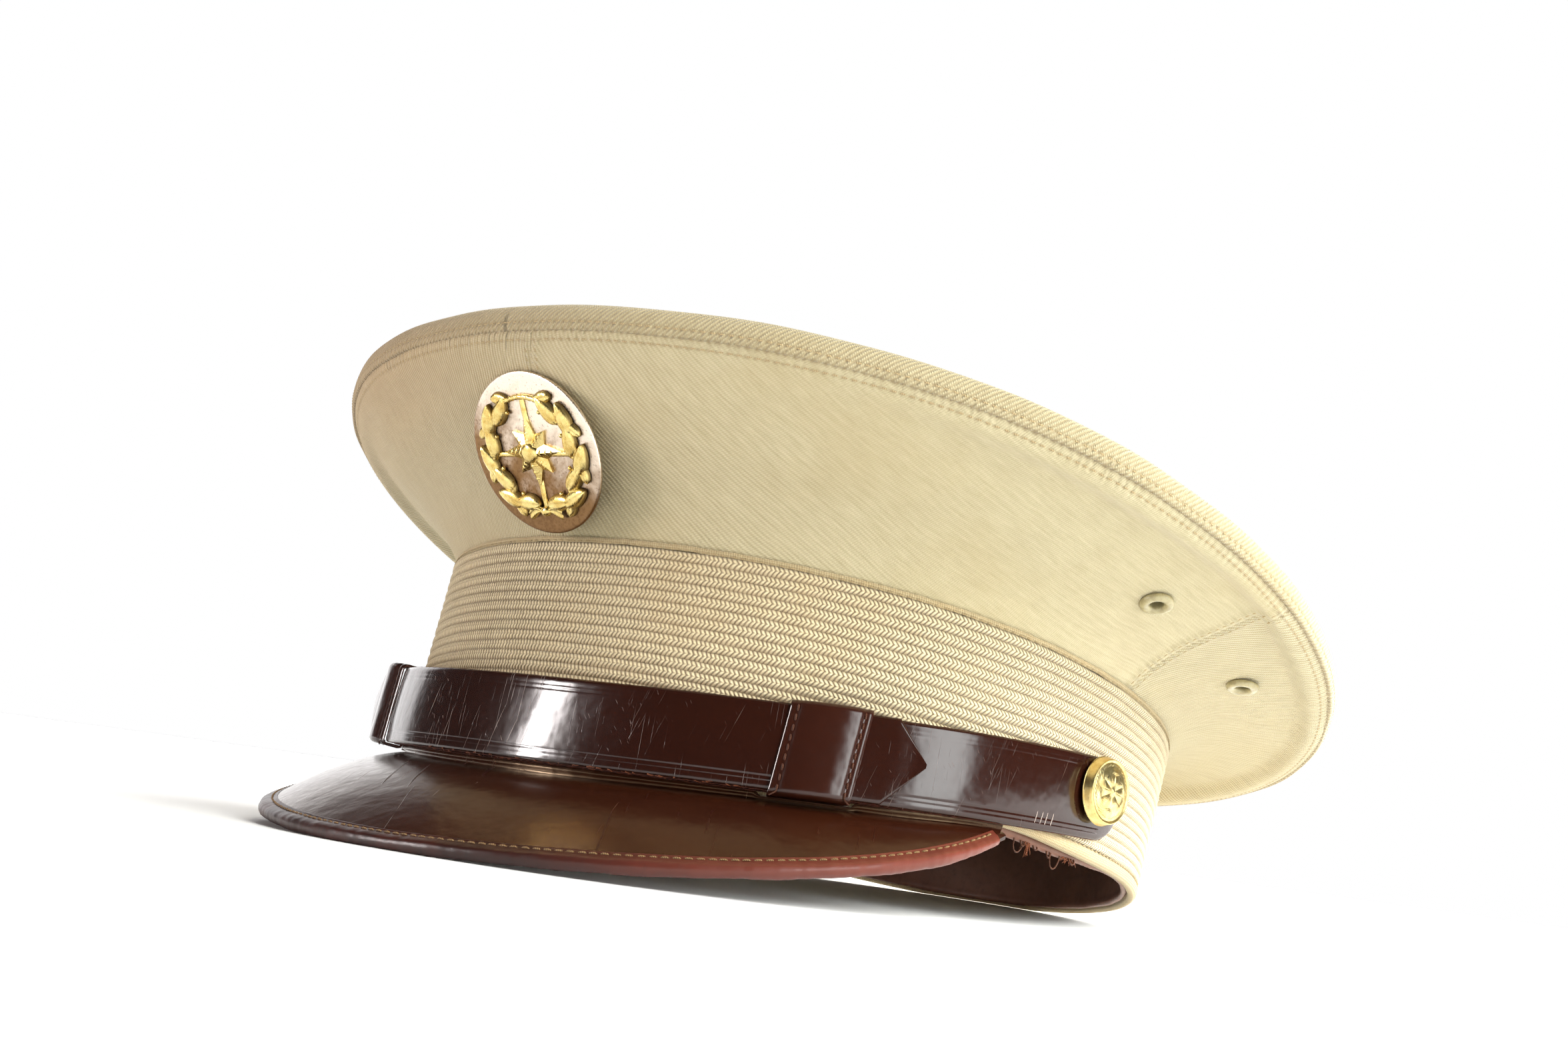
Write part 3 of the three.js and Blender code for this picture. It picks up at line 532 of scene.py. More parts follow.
def braid():
    """Braided ribs: v counts ribs from the band's top, u is millimetres round the band."""
    M = Mat("braid", Roughness=0.75)
    M.b.inputs["Specular IOR Level"].default_value = 0.25
    M.b.inputs["Sheen Weight"].default_value = 0.2
    M.b.inputs["Sheen Roughness"].default_value = 0.45
    u, v, uv = M.uv()
    fr = M.math("FRACT", v)
    g = M.mul(M.math("ABSOLUTE", M.sub(fr, 0.5)), 2.0)
    row = M.math("FLOOR", v)
    jig = M.noise(M.combine(M.mul(u, 0.04), M.mul(row, 3.7)), 1.0, 2.0)
    x = M.add(M.add(M.mul(u, 1 / 1.05), M.mul(g, 0.75)), M.mul(jig, 3.0))
    x = M.add(x, M.mul(row, 0.37))
    strand = M.math("ABSOLUTE", M.math("SINE", M.mul(x, PI)))
    strand = M.math("POWER", strand, 0.8)
    one = M.math("FLOOR", x)
    vary = M.noise(M.combine(M.mul(one, 1.9), M.mul(row, 2.3)), 1.0, 1.0)
    fine = M.noise(M.combine(M.mul(x, 2.2), M.mul(g, 1.5), row), 1.0, 2.0)
    edge = M.math("POWER", g, 4.0)
    mid = M.bell(g, 0.0, 0.16)
    h = M.sub(M.add(M.mul(strand, 0.8), M.mul(fine, 0.2)), M.add(M.mul(edge, 0.7), M.mul(mid, 0.35)))
    patch = M.noise(M.scale(M.place(), 30.0), 1.0, 4.0, 0.6)
    # painted shade: strand tops are coloured light and the gaps between strands, the grooves between ribs (edge) and
    # each rib's middle line (mid) darker; vary and patch are the yarn's own tone
    c = M.mix(M.math("MULTIPLY_ADD", strand, 0.95, 0.0, clamp=True), srgb(112, 90, 60), srgb(228, 212, 174))
    c = M.mix(M.mul(edge, 0.75), c, srgb(126, 102, 70))
    c = M.mix(M.mul(mid, 0.3), c, srgb(150, 126, 90))
    c = M.mix(M.mul(M.sub(vary, 0.35), 0.5), c, srgb(234, 218, 182))
    c = M.mix(M.mul(M.band(patch, 0.45, 0.75), 0.25), c, srgb(190, 160, 112))
    nrm = M.bump(h, 0.0006, 0.9)
    return M.done(c, None, nrm)


def plain_cloth(name, base=(206, 191, 154), dark=(140, 120, 84)):
    """Close plain cloth on the band's turned edges."""
    M = Mat(name, Roughness=0.8)
    M.b.inputs["Specular IOR Level"].default_value = 0.2
    M.b.inputs["Sheen Weight"].default_value = 0.15
    u, v, uv = M.uv()
    a = M.wave(M.add(M.mul(u, 1 / 0.55), M.mul(v, 0.4)))
    b = M.wave(M.mul(v, 1 / 0.5))
    fuzz = M.noise(uv, 1.8, 3.0, 0.7)
    big = M.noise(uv, 0.12, 3.0, 0.6)
    h = M.add(M.add(M.mul(a, 0.4), M.mul(b, 0.35)), M.mul(fuzz, 0.7))
    # painted shade: the weave's raised threads are coloured lighter and the low ones darker
    c = M.mix(M.math("MULTIPLY_ADD", h, 0.65, -0.1, clamp=True), srgb(*dark), srgb(*base))
    c = M.mix(M.mul(M.band(big, 0.45, 0.7), 0.3), c, srgb(170, 142, 98))
    return M.done(c, None, M.bump(h, 0.0002, 0.8))


def thread(name, base, dark):
    M = Mat(name, Roughness=0.6)
    M.b.inputs["Specular IOR Level"].default_value = 0.35
    u, v, uv = M.uv()
    tw = M.wave(M.add(M.mul(u, 1 / 0.42), M.mul(v, 2.0)))
    n = M.noise(M.scale(M.place(), 1200.0), 1.0, 2.0)
    # painted shade: the twist's ridges are coloured lighter and its grooves darker; the speckle below is the thread's
    # own tone
    c = M.mix(M.math("MULTIPLY_ADD", tw, 0.7, 0.1), srgb(*dark), srgb(*base))
    c = M.mix(M.mul(n, 0.4), c, srgb(*dark))
    return M.done(c, None, M.bump(tw, 0.0001, 0.7))


def leather(name, base, warm, deep, rough=0.22, coat=0.45, scratches=None, grain=0.35, mottled=0.5, worn=None, dents=0.0011, red=0.0, tint=None, spec=0.4):
    """Polished leather. scratches = (angle, amount): fine marks across the piece, in UV millimetres."""
    M = Mat(name, Roughness=rough)
    M.b.inputs["Coat Weight"].default_value = coat
    M.b.inputs["Coat Roughness"].default_value = 0.09
    M.b.inputs["Specular IOR Level"].default_value = spec
    if tint:
        M.b.inputs["Specular Tint"].default_value = (*tint, 1.0)
    u, v, uv = M.uv()
    obj = M.scale(M.place(), 1000.0)
    big = M.noise(obj, 0.06, 4.0, 0.6)
    mid = M.noise(obj, 0.6, 4.0, 0.6)
    pores = M.voronoi(obj, 2.6)
    fine = M.noise(obj, 5.0, 3.0, 0.6)
    c = M.mix(M.mul(M.band(big, 0.35, 0.7), mottled), srgb(*base), srgb(*warm))
    c = M.mix(M.mul(M.band(mid, 0.45, 0.8), 0.8 * mottled), c, srgb(*deep))
    rg = M.math("MULTIPLY_ADD", mid, 0.12, rough - 0.04)
    h = M.add(M.mul(pores, 0.25), M.mul(fine, 0.25))
    if red:
        x = M.node("ShaderNodeSeparateXYZ")
        M.t.links.new(M.place(), x.inputs[0])
        c = M.mix(M.mul(M.band(x.outputs[0], 0.03, 0.09), red), c, srgb(122, 58, 44))
    nrm = M.bump(M.noise(obj, 0.16, 2.0, 0.5), dents, 0.32)
    nrm = M.bump(h, 0.00006, grain, nrm)
    if scratches:
        for k, (angle, across, alongk, cut, lift, colour) in enumerate(scratches):
            ca, sa = math.cos(rad(angle)), math.sin(rad(angle))
            s = M.add(M.mul(u, ca), M.mul(v, sa))
            t = M.sub(M.mul(v, ca), M.mul(u, sa))
            n = M.noise(M.combine(M.mul(s, across), M.mul(t, alongk), 5.0 * k + 1), 1.0, 2.0, 0.5, distort=0.04)
            where = M.noise(M.combine(M.mul(u, 0.05), M.mul(v, 0.05), 9.0 * k), 1.0, 2.0, 0.5)
            line = M.mul(M.band(n, cut, cut + 0.035), M.band(where, 0.42, 0.6))
            if worn:
                line = M.mul(line, M.math("ADD", 0.12, M.math("ADD", M.bell(u, *worn[0]), M.bell(u, *worn[1])), clamp=True))
            nrm = M.bump(line, 0.0002, lift, nrm)
            c = M.mix(M.mul(line, 0.75), c, srgb(*colour))
            rg = M.add(rg, M.mul(line, 0.25))
    return M.done(c, M.math("MAXIMUM", rg, 0.06), nrm)


def raw_edge():
    """Cut or worn leather."""
    M = Mat("leather_edge", Roughness=0.6)
    M.b.inputs["Specular IOR Level"].default_value = 0.3
    obj = M.scale(M.place(), 1000.0)
    a, b = M.noise(obj, 0.9, 4.0, 0.7), M.noise(obj, 4.0, 4.0, 0.7)
    c = M.mix(M.band(a, 0.35, 0.7), srgb(52, 24, 17), srgb(104, 52, 36))
    c = M.mix(M.mul(M.band(b, 0.5, 0.75), 0.4), c, srgb(140, 84, 58))
    return M.done(c, None, M.bump(M.add(a, b), 0.00025, 0.8))


def gold(name, base, deep, rough=0.24, spots=0.4, tarnish=(92, 62, 36), shade_recesses=False):
    M = Mat(name, Metallic=1.0, Roughness=rough)
    obj = M.scale(M.place(), 1000.0)
    a, b = M.noise(obj, 0.35, 5.0, 0.65), M.noise(obj, 2.4, 4.0, 0.65)
    c = M.mix(M.band(a, 0.35, 0.7), srgb(*base), srgb(*deep))
    c = M.mix(M.mul(M.band(b, 0.55, 0.75), spots), c, srgb(*tarnish))
    rg = M.add(M.math("MULTIPLY_ADD", a, 0.2, rough - 0.1), M.mul(M.band(b, 0.5, 0.8), 0.25))
    if shade_recesses:
        # painted shade: the relief's low parts, by the height in rim_s, are coloured darker and made rougher
        low = M.sub(1.0, M.band(M.attr("rim_s"), 0.2, 0.72))
        c = M.mix(M.mul(low, 0.8), c, srgb(78, 54, 28))
        rg = M.add(rg, M.mul(low, 0.3))
    return M.done(c, rg, M.bump(M.add(b, M.mul(a, 0.6)), 0.00008, 0.5))


def plate_tarnish_and_shade():
    M = Mat("badge_plate", Metallic=1.0, Roughness=0.3)
    obj = M.scale(M.place(), 1000.0)
    a = M.noise(obj, 0.13, 5.0, 0.6, distort=0.6)
    b = M.noise(obj, 1.2, 5.0, 0.7)
    d = M.voronoi(obj, 0.8)
    z = M.node("ShaderNodeSeparateXYZ")
    M.t.links.new(M.place(), z.inputs[0])
    # painted shade: the plate is coloured paler towards its top and darker and browner towards its bottom and the
    # wearer's right; the noise patches and pits are its own tarnish
    g = M.sub(M.mul(M.sub(0.096, z.outputs[2]), 20.0), M.mul(z.outputs[0], 10.0))
    a = M.add(M.mul(a, 0.7), M.add(g, 0.12))
    b = M.add(b, M.mul(g, 0.35))
    c = M.mix(M.band(a, 0.34, 0.78), srgb(236, 220, 202), srgb(132, 100, 66))
    c = M.mix(M.mul(M.band(b, 0.55, 0.75), 0.7), c, srgb(108, 78, 50))
    c = M.mix(M.mul(M.sub(1.0, M.band(d, 0.05, 0.22)), 0.45), c, srgb(80, 54, 36))
    rg = M.math("MULTIPLY_ADD", b, 0.45, 0.1)
    return M.done(c, rg, M.bump(M.add(b, M.mul(a, 0.5)), 0.0001, 0.6))


def paint():
    M = Mat("eyelet_paint", Roughness=0.32)
    M.b.inputs["Coat Weight"].default_value = 0.3
    obj = M.scale(M.place(), 1000.0)
    a = M.noise(obj, 0.7, 4.0, 0.6)
    c = M.mix(M.band(a, 0.4, 0.7), srgb(164, 153, 114), srgb(142, 130, 92))
    c = M.mix(M.mul(M.band(M.noise(obj, 2.2, 3.0, 0.7), 0.62, 0.75), 0.5), c, srgb(96, 82, 56))
    return M.done(c, M.math("MULTIPLY_ADD", a, 0.2, 0.2), M.bump(a, 0.0001, 0.5))


M_TOP = twill("twill_top", 135.0)
M_LEFT = twill("twill_left", 30.0, fade=True)
M_RIGHT = twill("twill_right", 4.0)
M_BACK = twill("twill_back", 30.0)
M_BRAID = braid()
M_EDGE = plain_cloth("band_edge")
M_THREAD = thread("thread_khaki", (206, 188, 146), (140, 116, 78))
M_BROWN = thread("thread_brown", (100, 60, 40), (48, 25, 17))
M_TAN = thread("thread_tan", (158, 128, 86), (84, 58, 36))
M_ORANGE = thread("thread_frayed", (150, 82, 44), (74, 36, 20))
M_PALE = thread("thread_pale", (214, 204, 196), (150, 130, 120))
M_STRAP = leather(
    "strap_leather", (37, 14, 7), (45, 17, 9), (27, 9, 6), 0.15, 0.18, grain=0.05, dents=0.0004, mottled=0.25,
    scratches=[
        (5, 4.2, 0.045, 0.665, 0.5, (220, 206, 200)),
        (-13, 3.8, 0.05, 0.68, 0.5, (206, 184, 172)),
        (38, 3.2, 0.3, 0.70, 0.5, (196, 168, 156)),
    ],
    worn=((92.0, 24.0), (150.0, 16.0)),
)
M_LOOP = leather("keeper_leather", (43, 17, 9), (51, 22, 12), (33, 12, 6), 0.2, 0.12, grain=0.15, dents=0.0008, mottled=0.3)
M_PEAK = leather(
    "visor_leather", (43, 17, 8), (53, 24, 11), (33, 13, 6), 0.22, 0.0, dents=0.0006, tint=(1.0, 0.7, 0.42), spec=0.45,
    scratches=[(38, 0.9, 0.02, 0.66, 0.6, (37, 14, 9)), (30, 1.6, 0.03, 0.71, 0.4, (120, 84, 64))],
)
M_UNDER = leather("visor_under", (42, 24, 18), (52, 30, 22), (30, 16, 12), 0.5, 0.1)
M_BIND = leather("binding_leather", (42, 16, 11), (66, 27, 19), (27, 11, 8), 0.36, 0.02, grain=0.7, mottled=0.8, red=0.55)
M_SWEAT = leather("sweatband_leather", (112, 74, 58), (134, 92, 72), (82, 52, 40), 0.5, 0.05, grain=0.9)
M_RAW = raw_edge()
M_GILT = gold("gilt", (244, 224, 160), (224, 192, 120), 0.3, tarnish=(140, 106, 62))
M_RELIEF = gold("gilt_relief", (230, 208, 138), (200, 166, 90), 0.24, 0.35, shade_recesses=True)
M_STAR = gold("gilt_star", (232, 210, 142), (204, 170, 94), 0.22, 0.35)
M_PLATE = plate_tarnish_and_shade()
M_PAINT = paint()
# painted shade: dark matte finish for the discs behind the eyelet holes, standing for the shade inside the crown
M_DARK = Mat("shadow_inside", Roughness=0.9)
M_DARK = M_DARK.done(
    M_DARK.mix(M_DARK.noise(M_DARK.scale(M_DARK.place(), 800.0), 1.0), srgb(30, 24, 18), srgb(52, 42, 30)),
    None,
    M_DARK.bump(M_DARK.noise(M_DARK.scale(M_DARK.place(), 1500.0), 1.0), 0.0002, 0.5),
)

MID = (0.0, -6.0, 40.0)  # somewhere inside the crown

# ---- crown top ------------------------------------------------------------------------------------------
ROLL = np.array(
    [
        (-2.6, -3.4), (-2.1, -4.3), (-1.55, -4.75), (-1.1, -4.82), (-0.68, -4.6), (-0.38, -4.1), (-0.18, -3.3),
        (-0.05, -2.2), (0.0, -1.4), (-0.05, -0.6), (-0.4, 0.4), (-1.2, 1.25), (-2.5, 1.8), (-4.2, 2.05), (-6.8, 2.1), (-10.0, 1.7),
    ]
)
NR = 760


def roll_profile(a):
    """(off, dz) at lengths a along the roll, measured up from the seam's lip."""
    s = arc(ROLL)
    s = s - s[3]
    fine = np.linspace(s[0], s[-1], 200)
    pts = np.stack([np.interp(fine, s, ROLL[:, k]) for k in (0, 1)], -1)
    ker = np.array([1, 4, 6, 4, 1]) / 16
    for _ in range(5):
        pad = np.pad(pts, ((2, 2), (0, 0)), mode="edge")
        sm = np.stack([np.convolve(pad[:, k], ker, "valid") for k in (0, 1)], -1)
        sm[0], sm[-1] = pts[0], pts[-1]
        pts = sm
    return np.stack([np.interp(a, fine, pts[:, k]) for k in (0, 1)], -1), s[0], s[-1]


def rim_wave(th):
    """The rim isn't a perfect curve: its wire and cloth wander a little."""
    return wobble(th, 3, (5, 9, 14, 23, 31), 0.22)


RIM_TH = np.linspace(0, 2 * PI, 1441)
RIM_ARC = arc(rim(RIM_TH))


def make_top():
    th = np.linspace(0, 2 * PI, NR, endpoint=False)
    thc = np.linspace(0, 2 * PI, NR + 1)
    _, lo, hi = roll_profile(0)
    a = np.concatenate([np.linspace(lo, 0, 5)[:-1], np.linspace(0, 6, 22)[:-1], np.linspace(6, hi, 16)])
    pr, _, _ = roll_profile(a)
    T = th[:, None]
    wave = rim_wave(th)[:, None]
    off = pr[None, :, 0] + wave * smooth(-3.0, 1.0, a)[None]
    dz = pr[None, :, 1] + 0.6 * wobble(th, 8, (7, 12, 19, 27), 0.2)[:, None]
    fade = smooth(hi, hi - 6, a)[None]
    P = vec((RIM_B + off) * sin(T), RIM_Y - (RIM_A + off) * cos(T), rim_z(T) + dz * 1.0)
    s = np.interp(thc, RIM_TH, RIM_ARC)
    att = np.zeros((*P.shape[:2], 4))
    att[..., 0] = s[:-1, None]
    att[..., 1] = np.maximum(a, 0)[None] + 0.001
    flat = np.linspace(1, 0.0004, 46)[1:]
    e = pr[-1]
    R = flat[None, :]
    low = wobble(T, 21, (2, 3, 5), 0.5) * sin(PI * R) + 0.35 * sin(R * 9 + wobble(T, 5, (2, 4), 1.5)) * sin(PI * R)
    Pf = vec(
        R * (RIM_B + e[0]) * sin(T),
        RIM_Y - R * (RIM_A + e[0]) * cos(T),
        rim_z(T, R) + e[1] + DOME * (1 - R * R) + low + 0.6 * wobble(th, 8, (7, 12, 19, 27), 0.2)[:, None] * R**8,
    )
    P = np.concatenate([P, Pf], 1)
    af = np.zeros((*Pf.shape[:2], 4))
    af[..., 0] = s[:-1, None]
    af[..., 1] = (hi + 120 * (1 - R)) + 0 * T
    att = np.concatenate([att, af], 1)
    UV = np.stack([P[..., 0], P[..., 1]], -1)
    UV = np.concatenate([UV, UV[:1]], 0)
    m = len(a) - 1
    UVr = np.stack(np.broadcast_arrays(s[:, None], a[None]), -1)
    B = Build()
    B.grid(P[:, : m + 1], UVr, close=True, away=MID, att=att[:, : m + 1])
    B.grid(P[:, m:], UV[:, m:], close=True, away=MID, att=att[:, m:])
    n = len(th)
    ring = P[:, -1]
    c = ring.mean(0)[None] + [0, 0, 0.0]
    tri = np.stack([np.full(n, n), np.arange(n), (np.arange(n) + 1) % n, (np.arange(n) + 1) % n], -1)
    B.faces(np.concatenate([ring, c]), tri, 0, np.zeros((n, 4, 2)) + [0, RIM_Y])
    # inside of the top, seen up through the head opening
    thi = np.linspace(0, 2 * PI, 160, endpoint=False)[:, None]
    r = np.linspace(1.0, 0.0004, 30)[None]
    Pi = vec(
        r * (RIM_B - 2.6) * sin(thi),
        RIM_Y - r * (RIM_A - 2.6) * cos(thi),
        rim_z(thi, r) + DOME * (1 - r * r) + 0.1 - 1.6 * smooth(0.9, 1.0, r),
    )
    UVi = np.concatenate([Pi[..., :2], Pi[:1, :, :2]], 0)
    B.grid(Pi, UVi, close=True, toward=MID, att=np.tile([0, 60.0, 0, 60.0], (160, 30, 1)))
    return B.make("crown_top_cloth", [M_TOP], "twill", ["crown_top"])


# ---- side panels --------------------------------------------------------------------------------------
def hollow(th, h):
    """How the cloth lies in below the stiffened seam: h millimetres down from the rim seam."""
    th = (th + PI) % (2 * PI) - PI
    deg = np.degrees(th)
    amt = 0.85 + 0.35 * smooth(15, 60, np.abs(deg)) + wobble(th, 17, (2, 3, 5), 0.22)
    lip = (0.2 + 0.35 * smooth(30, 60, np.abs(deg))) * np.exp(-(((h - 3.6) / 2.2) ** 2))
    step = smooth(4.2, 8.6, h + wobble(th, 31, (4, 7, 11), 0.9))
    back = 1 - 0.75 * smooth(10, 42, h)
    e = lip - (0.35 + 1.6 * smooth(32, 66, np.abs(deg))) * amt * step * back
    for (c, hc, wd, wh, amp) in (
        (-24, 12, 10, 4.5, -0.7), (-40, 20, 9, 8, 0.5), (12, 9, 8, 3.5, -0.35), (34, 16, 12, 6, -0.5), (30, 30, 14, 9, 0.35),
        (52, 13, 9, 5, -0.55), (64, 26, 10, 9, 0.5), (74, 12, 7, 5, -0.6), (100, 14, 9, 6, -0.5), (120, 20, 14, 8, 0.45),
        (150, 12, 14, 6, -0.5), (-70, 14, 12, 6, -0.5), (-100, 16, 12, 7, -0.45), (-130, 20, 14, 8, 0.45), (-155, 13, 12, 6, -0.5),
    ):
        e = e + amp * np.exp(-(((deg - c) / wd) ** 2) - ((h - hc) / wh) ** 2)
    return e


CONE_R = 131.0
TH_T = np.linspace(-PI, PI, 1441)
BAND_ARC = arc(wall(TH_T, np.zeros_like(TH_T)))
BAND_ARC = BAND_ARC - np.interp(0, TH_T, BAND_ARC)


def front_slant(th, t):
    """The front seam runs a little across, towards the wearer's right as it goes down."""
    d = (np.degrees((th + PI) % (2 * PI) - PI) - FRONT_SEAM) / 20
    return -rad(5.5) * np.clip(1 - t, 0, 1) ** 0.7 * np.exp(-(d**2))


def make_quarter(name, a, b, mat, node):
    n = int(abs(b - a) * 2.6)
    g = -0.05
    e = 0.5 - 0.5 * cos(PI * np.linspace(0, 1, n))
    lin = np.linspace(0, 1, n)
    th = rad(lerp(a + g, b - g, lerp(lin, e, 0.55)))[:, None]
    P0, d, N = wall_frame(th[:, 0])
    L = np.linalg.norm(d, axis=-1)
    top = np.array([0.0, 0.12, 0.3, 0.6, 1.0, 1.5, 2.0, 2.5, 3.0, 3.6, 4.3, 5.0, 5.8, 6.6, 7.5, 8.5])
    rows = 62
    h = np.concatenate(
        [np.tile(top, (n, 1)), lerp(top[-1], L[:, None], np.linspace(0, 1, rows)[1:][None])], 1
    )
    t = 1 - h / L[:, None]
    TH = th + front_slant(th, t)
    off = hollow(TH, h) * smooth(0, 0.12, t)
    off = off - 0.12 * np.exp(-((h / 0.35) ** 2))
    # vertical seams: a ditch with the allowance's ridge beside it
    mid = wall(th, np.full((n, 1), 0.5))[:, 0]
    am = arc(mid)
    scale = (1 + 0.38 * t) / 1.19
    side = np.minimum(am, am[-1] - am)[:, None] * scale
    off = off - 0.03 * np.exp(-((side / 0.4) ** 2)) + 0.26 * np.exp(-(((side - 1.5) / 1.2) ** 2))
    off = off + 0.16 * np.exp(-(((h - 1.6) / 1.5) ** 2))
    P = wall(TH, t, off)
    hole = np.zeros(P.shape[:2], bool)
    for _, deg, te in EYELETS:
        for sgn in (1, -1):
            the = np.array(sgn * rad(deg))
            he = (1 - te) * np.linalg.norm(wall_frame(the)[1])
            c = wall(the, np.array(te), float(hollow(the, np.array(he))))
            hole |= np.linalg.norm(P - c, axis=-1) < 3.0
    # the lower edge tucks in behind the band
    P0b = P[:, -1:] + np.array([0, 0, -1.0]) - 0.5 * outward(th)
    # the upper edge turns in along the seam
    lipN = N[:, None]
    P1 = P[:, :1] - lipN * 0.7 + np.array([0, 0, 0.1])
    P = np.concatenate([P1, P, P0b], 1)
    h = np.concatenate([h[:, :1], h, h[:, -1:] + 1], 1)
    side = np.concatenate([side[:, :1], side, side[:, -1:]], 1)
    psi = (np.interp(th[:, 0], TH_T, BAND_ARC) / CONE_R)[:, None]
    R = CONE_R + (L[:, None] - h)
    if abs(a) > 90 or abs(b) > 90:
        psi = psi - np.sign(a + b) * 2.29
    UV = np.stack([R * sin(psi), R * cos(psi) - CONE_R], -1)
    s = np.interp(th[:, 0] % (2 * PI), RIM_TH, RIM_ARC)[:, None]
    att = np.stack(np.broadcast_arrays(s, h + 0.001, L[:, None] - h, side + 0.001), -1)
    B = Build()
    hole = np.pad(hole, ((0, 0), (1, 1)))
    drop = hole[:-1, :-1] & hole[1:, :-1] & hole[:-1, 1:] & hole[1:, 1:]
    B.grid(P, UV, away=MID, att=att, drop=drop)
    # inside of the cloth
    ti = np.linspace(0.03, 0.97, 32)[None]
    thi, tt = np.broadcast_arrays(th[::4], ti)
    Pi = wall(thi, tt, hollow(thi, (1 - tt) * L[::4, None]) * smooth(0, 0.12, tt) - 1.45)
    UVi = np.stack([UV[::4, 0, 0][:, None] + 0 * ti, UV[::4, 0, 1][:, None] + ti * 50], -1)
    atti = np.tile([0, 60.0, 0, 60.0], (*Pi.shape[:2], 1))
    B.grid(Pi, UVi, toward=MID, att=atti)
    return B.make(name, [mat], "twill", [node])


# ---- band -------------------------------------------------------------------------------------------------
RIBS = 16
TOP_STRIP, FOOT = 1.35, 3.1


def rib_pitch(th):
    virtual = np.maximum(band_bottom(th), -3.0 + 0 * th)
    k = 0.5
    virtual = -3.0 + np.log1p(np.exp((band_bottom(th) + 3.0) / k)) * k
    return (band_top(th) - TOP_STRIP - virtual - FOOT) / RIBS


def make_band():
    n = 560
    th = np.linspace(0, 2 * PI, n, endpoint=False)[:, None] + PI
    thc = np.linspace(0, 2 * PI, n + 1)[:, None] + PI
    mid = head(thc, 20.0 + 0 * thc)[:, 0]
    s = arc(mid)[:, None]
    zt, zb, p = band_top(th), band_bottom(th), rib_pitch(th)
    wav = wobble(th, 41, (3, 5, 8, 13, 21), 0.1)
    B = Build()

    def rows(z, off, V, mat, inner=False):
        P = head(np.broadcast_to(th, z.shape), z, off)
        UV = np.zeros((n + 1, z.shape[1], 2))
        UV[..., 0] = s
        UV[:-1, :, 1] = V
        UV[-1, :, 1] = UV[0, :, 1]
        if inner:
            B.grid(P, UV, close=True, mat=mat, toward=MID)
        else:
            B.grid(P, UV, close=True, mat=mat, away=(0, 0, 20))

    # ribs, counted down from the top
    per = 7
    ph = np.linspace(0, RIBS, RIBS * per + 1)[None]
    fr = ph % 1.0
    shape = np.abs(sin(PI * fr)) ** 0.7
    off = -0.42 + 0.66 * shape + wav + 0.05 * wobble(th + ph * 1.7, 5, (40, 57), 1.0)
    z = zt - TOP_STRIP - p * ph + 0.10 * wobble(th + 0.9 * np.floor(ph), 6, (6, 11, 17), 1.0)
    rows(z, off, np.broadcast_to(ph, z.shape), 0)
    # below them in front, behind the strap and the peak
    zl = z[:, -1:]
    k = np.linspace(0, 1, 30)[None]
    z2 = lerp(zl, np.minimum(zb + FOOT, zl), k)
    ph2 = RIBS + (zl - z2) / p
    off2 = -0.42 + 0.66 * np.abs(sin(PI * (ph2 % 1.0))) ** 0.7 + wav
    rows(z2, off2, ph2, 0)
    # sewn strip along the top
    v = np.array([0, 0.17, 0.37, 0.62, 0.88, 1.12, 1.28, 1.36, 1.25, 0.8])[None]
    o = np.array([-0.42, -0.2, 0.0, 0.08, 0.05, -0.02, -0.22, -0.6, -1.2, -1.9])[None]
    zz = zt - TOP_STRIP + v + wobble(th, 43, (30, 47, 71), 0.07)
    rows(zz, o + wav + 0 * zz + 0.06 * wobble(th, 44, (90, 131, 177), 1.0), v + 0 * zz, 1)
    # turned edge along the bottom
    zr = z2[:, -1:]
    v = np.array([0, 0.12, 0.45, 0.9, 1.5, 2.1, 2.6, 2.95, 3.1, 3.1, 2.9, 2.3])[None]
    o = np.array([-0.42, -0.30, 0.0, 0.18, 0.22, 0.15, -0.1, -0.55, -1.1, -1.6, -2.1, -2.4])[None]
    zz = lerp(zr, zb + 0 * zr, np.minimum(v / 3.1, 1.0)) + np.maximum(0, 3.1 - v) * np.where(o < -1.7, 1.0, 0.0)
    rows(zz, o + wav + 0 * zz, 20 - v + 0 * zz, 1)
    # inside
    zi = lerp(zb + 0.8, zt - 0.1, np.linspace(0, 1, 12)[None])
    rows(zi, -BAND_T + 0.05 + 0 * zi, zi, 1, inner=True)
    return B.make("band_braid", [M_BRAID, M_EDGE], "braid", ["band"])


# ---- sweatband ------------------------------------------------------------------------------------------------
def sweat_bottom(th):
    a = np.abs((th + PI) % (2 * PI) - PI)
    dip = 2.4 * np.exp(-(((a - rad(76)) / rad(18)) ** 2))
    return band_bottom(th) + 0.9 - dip


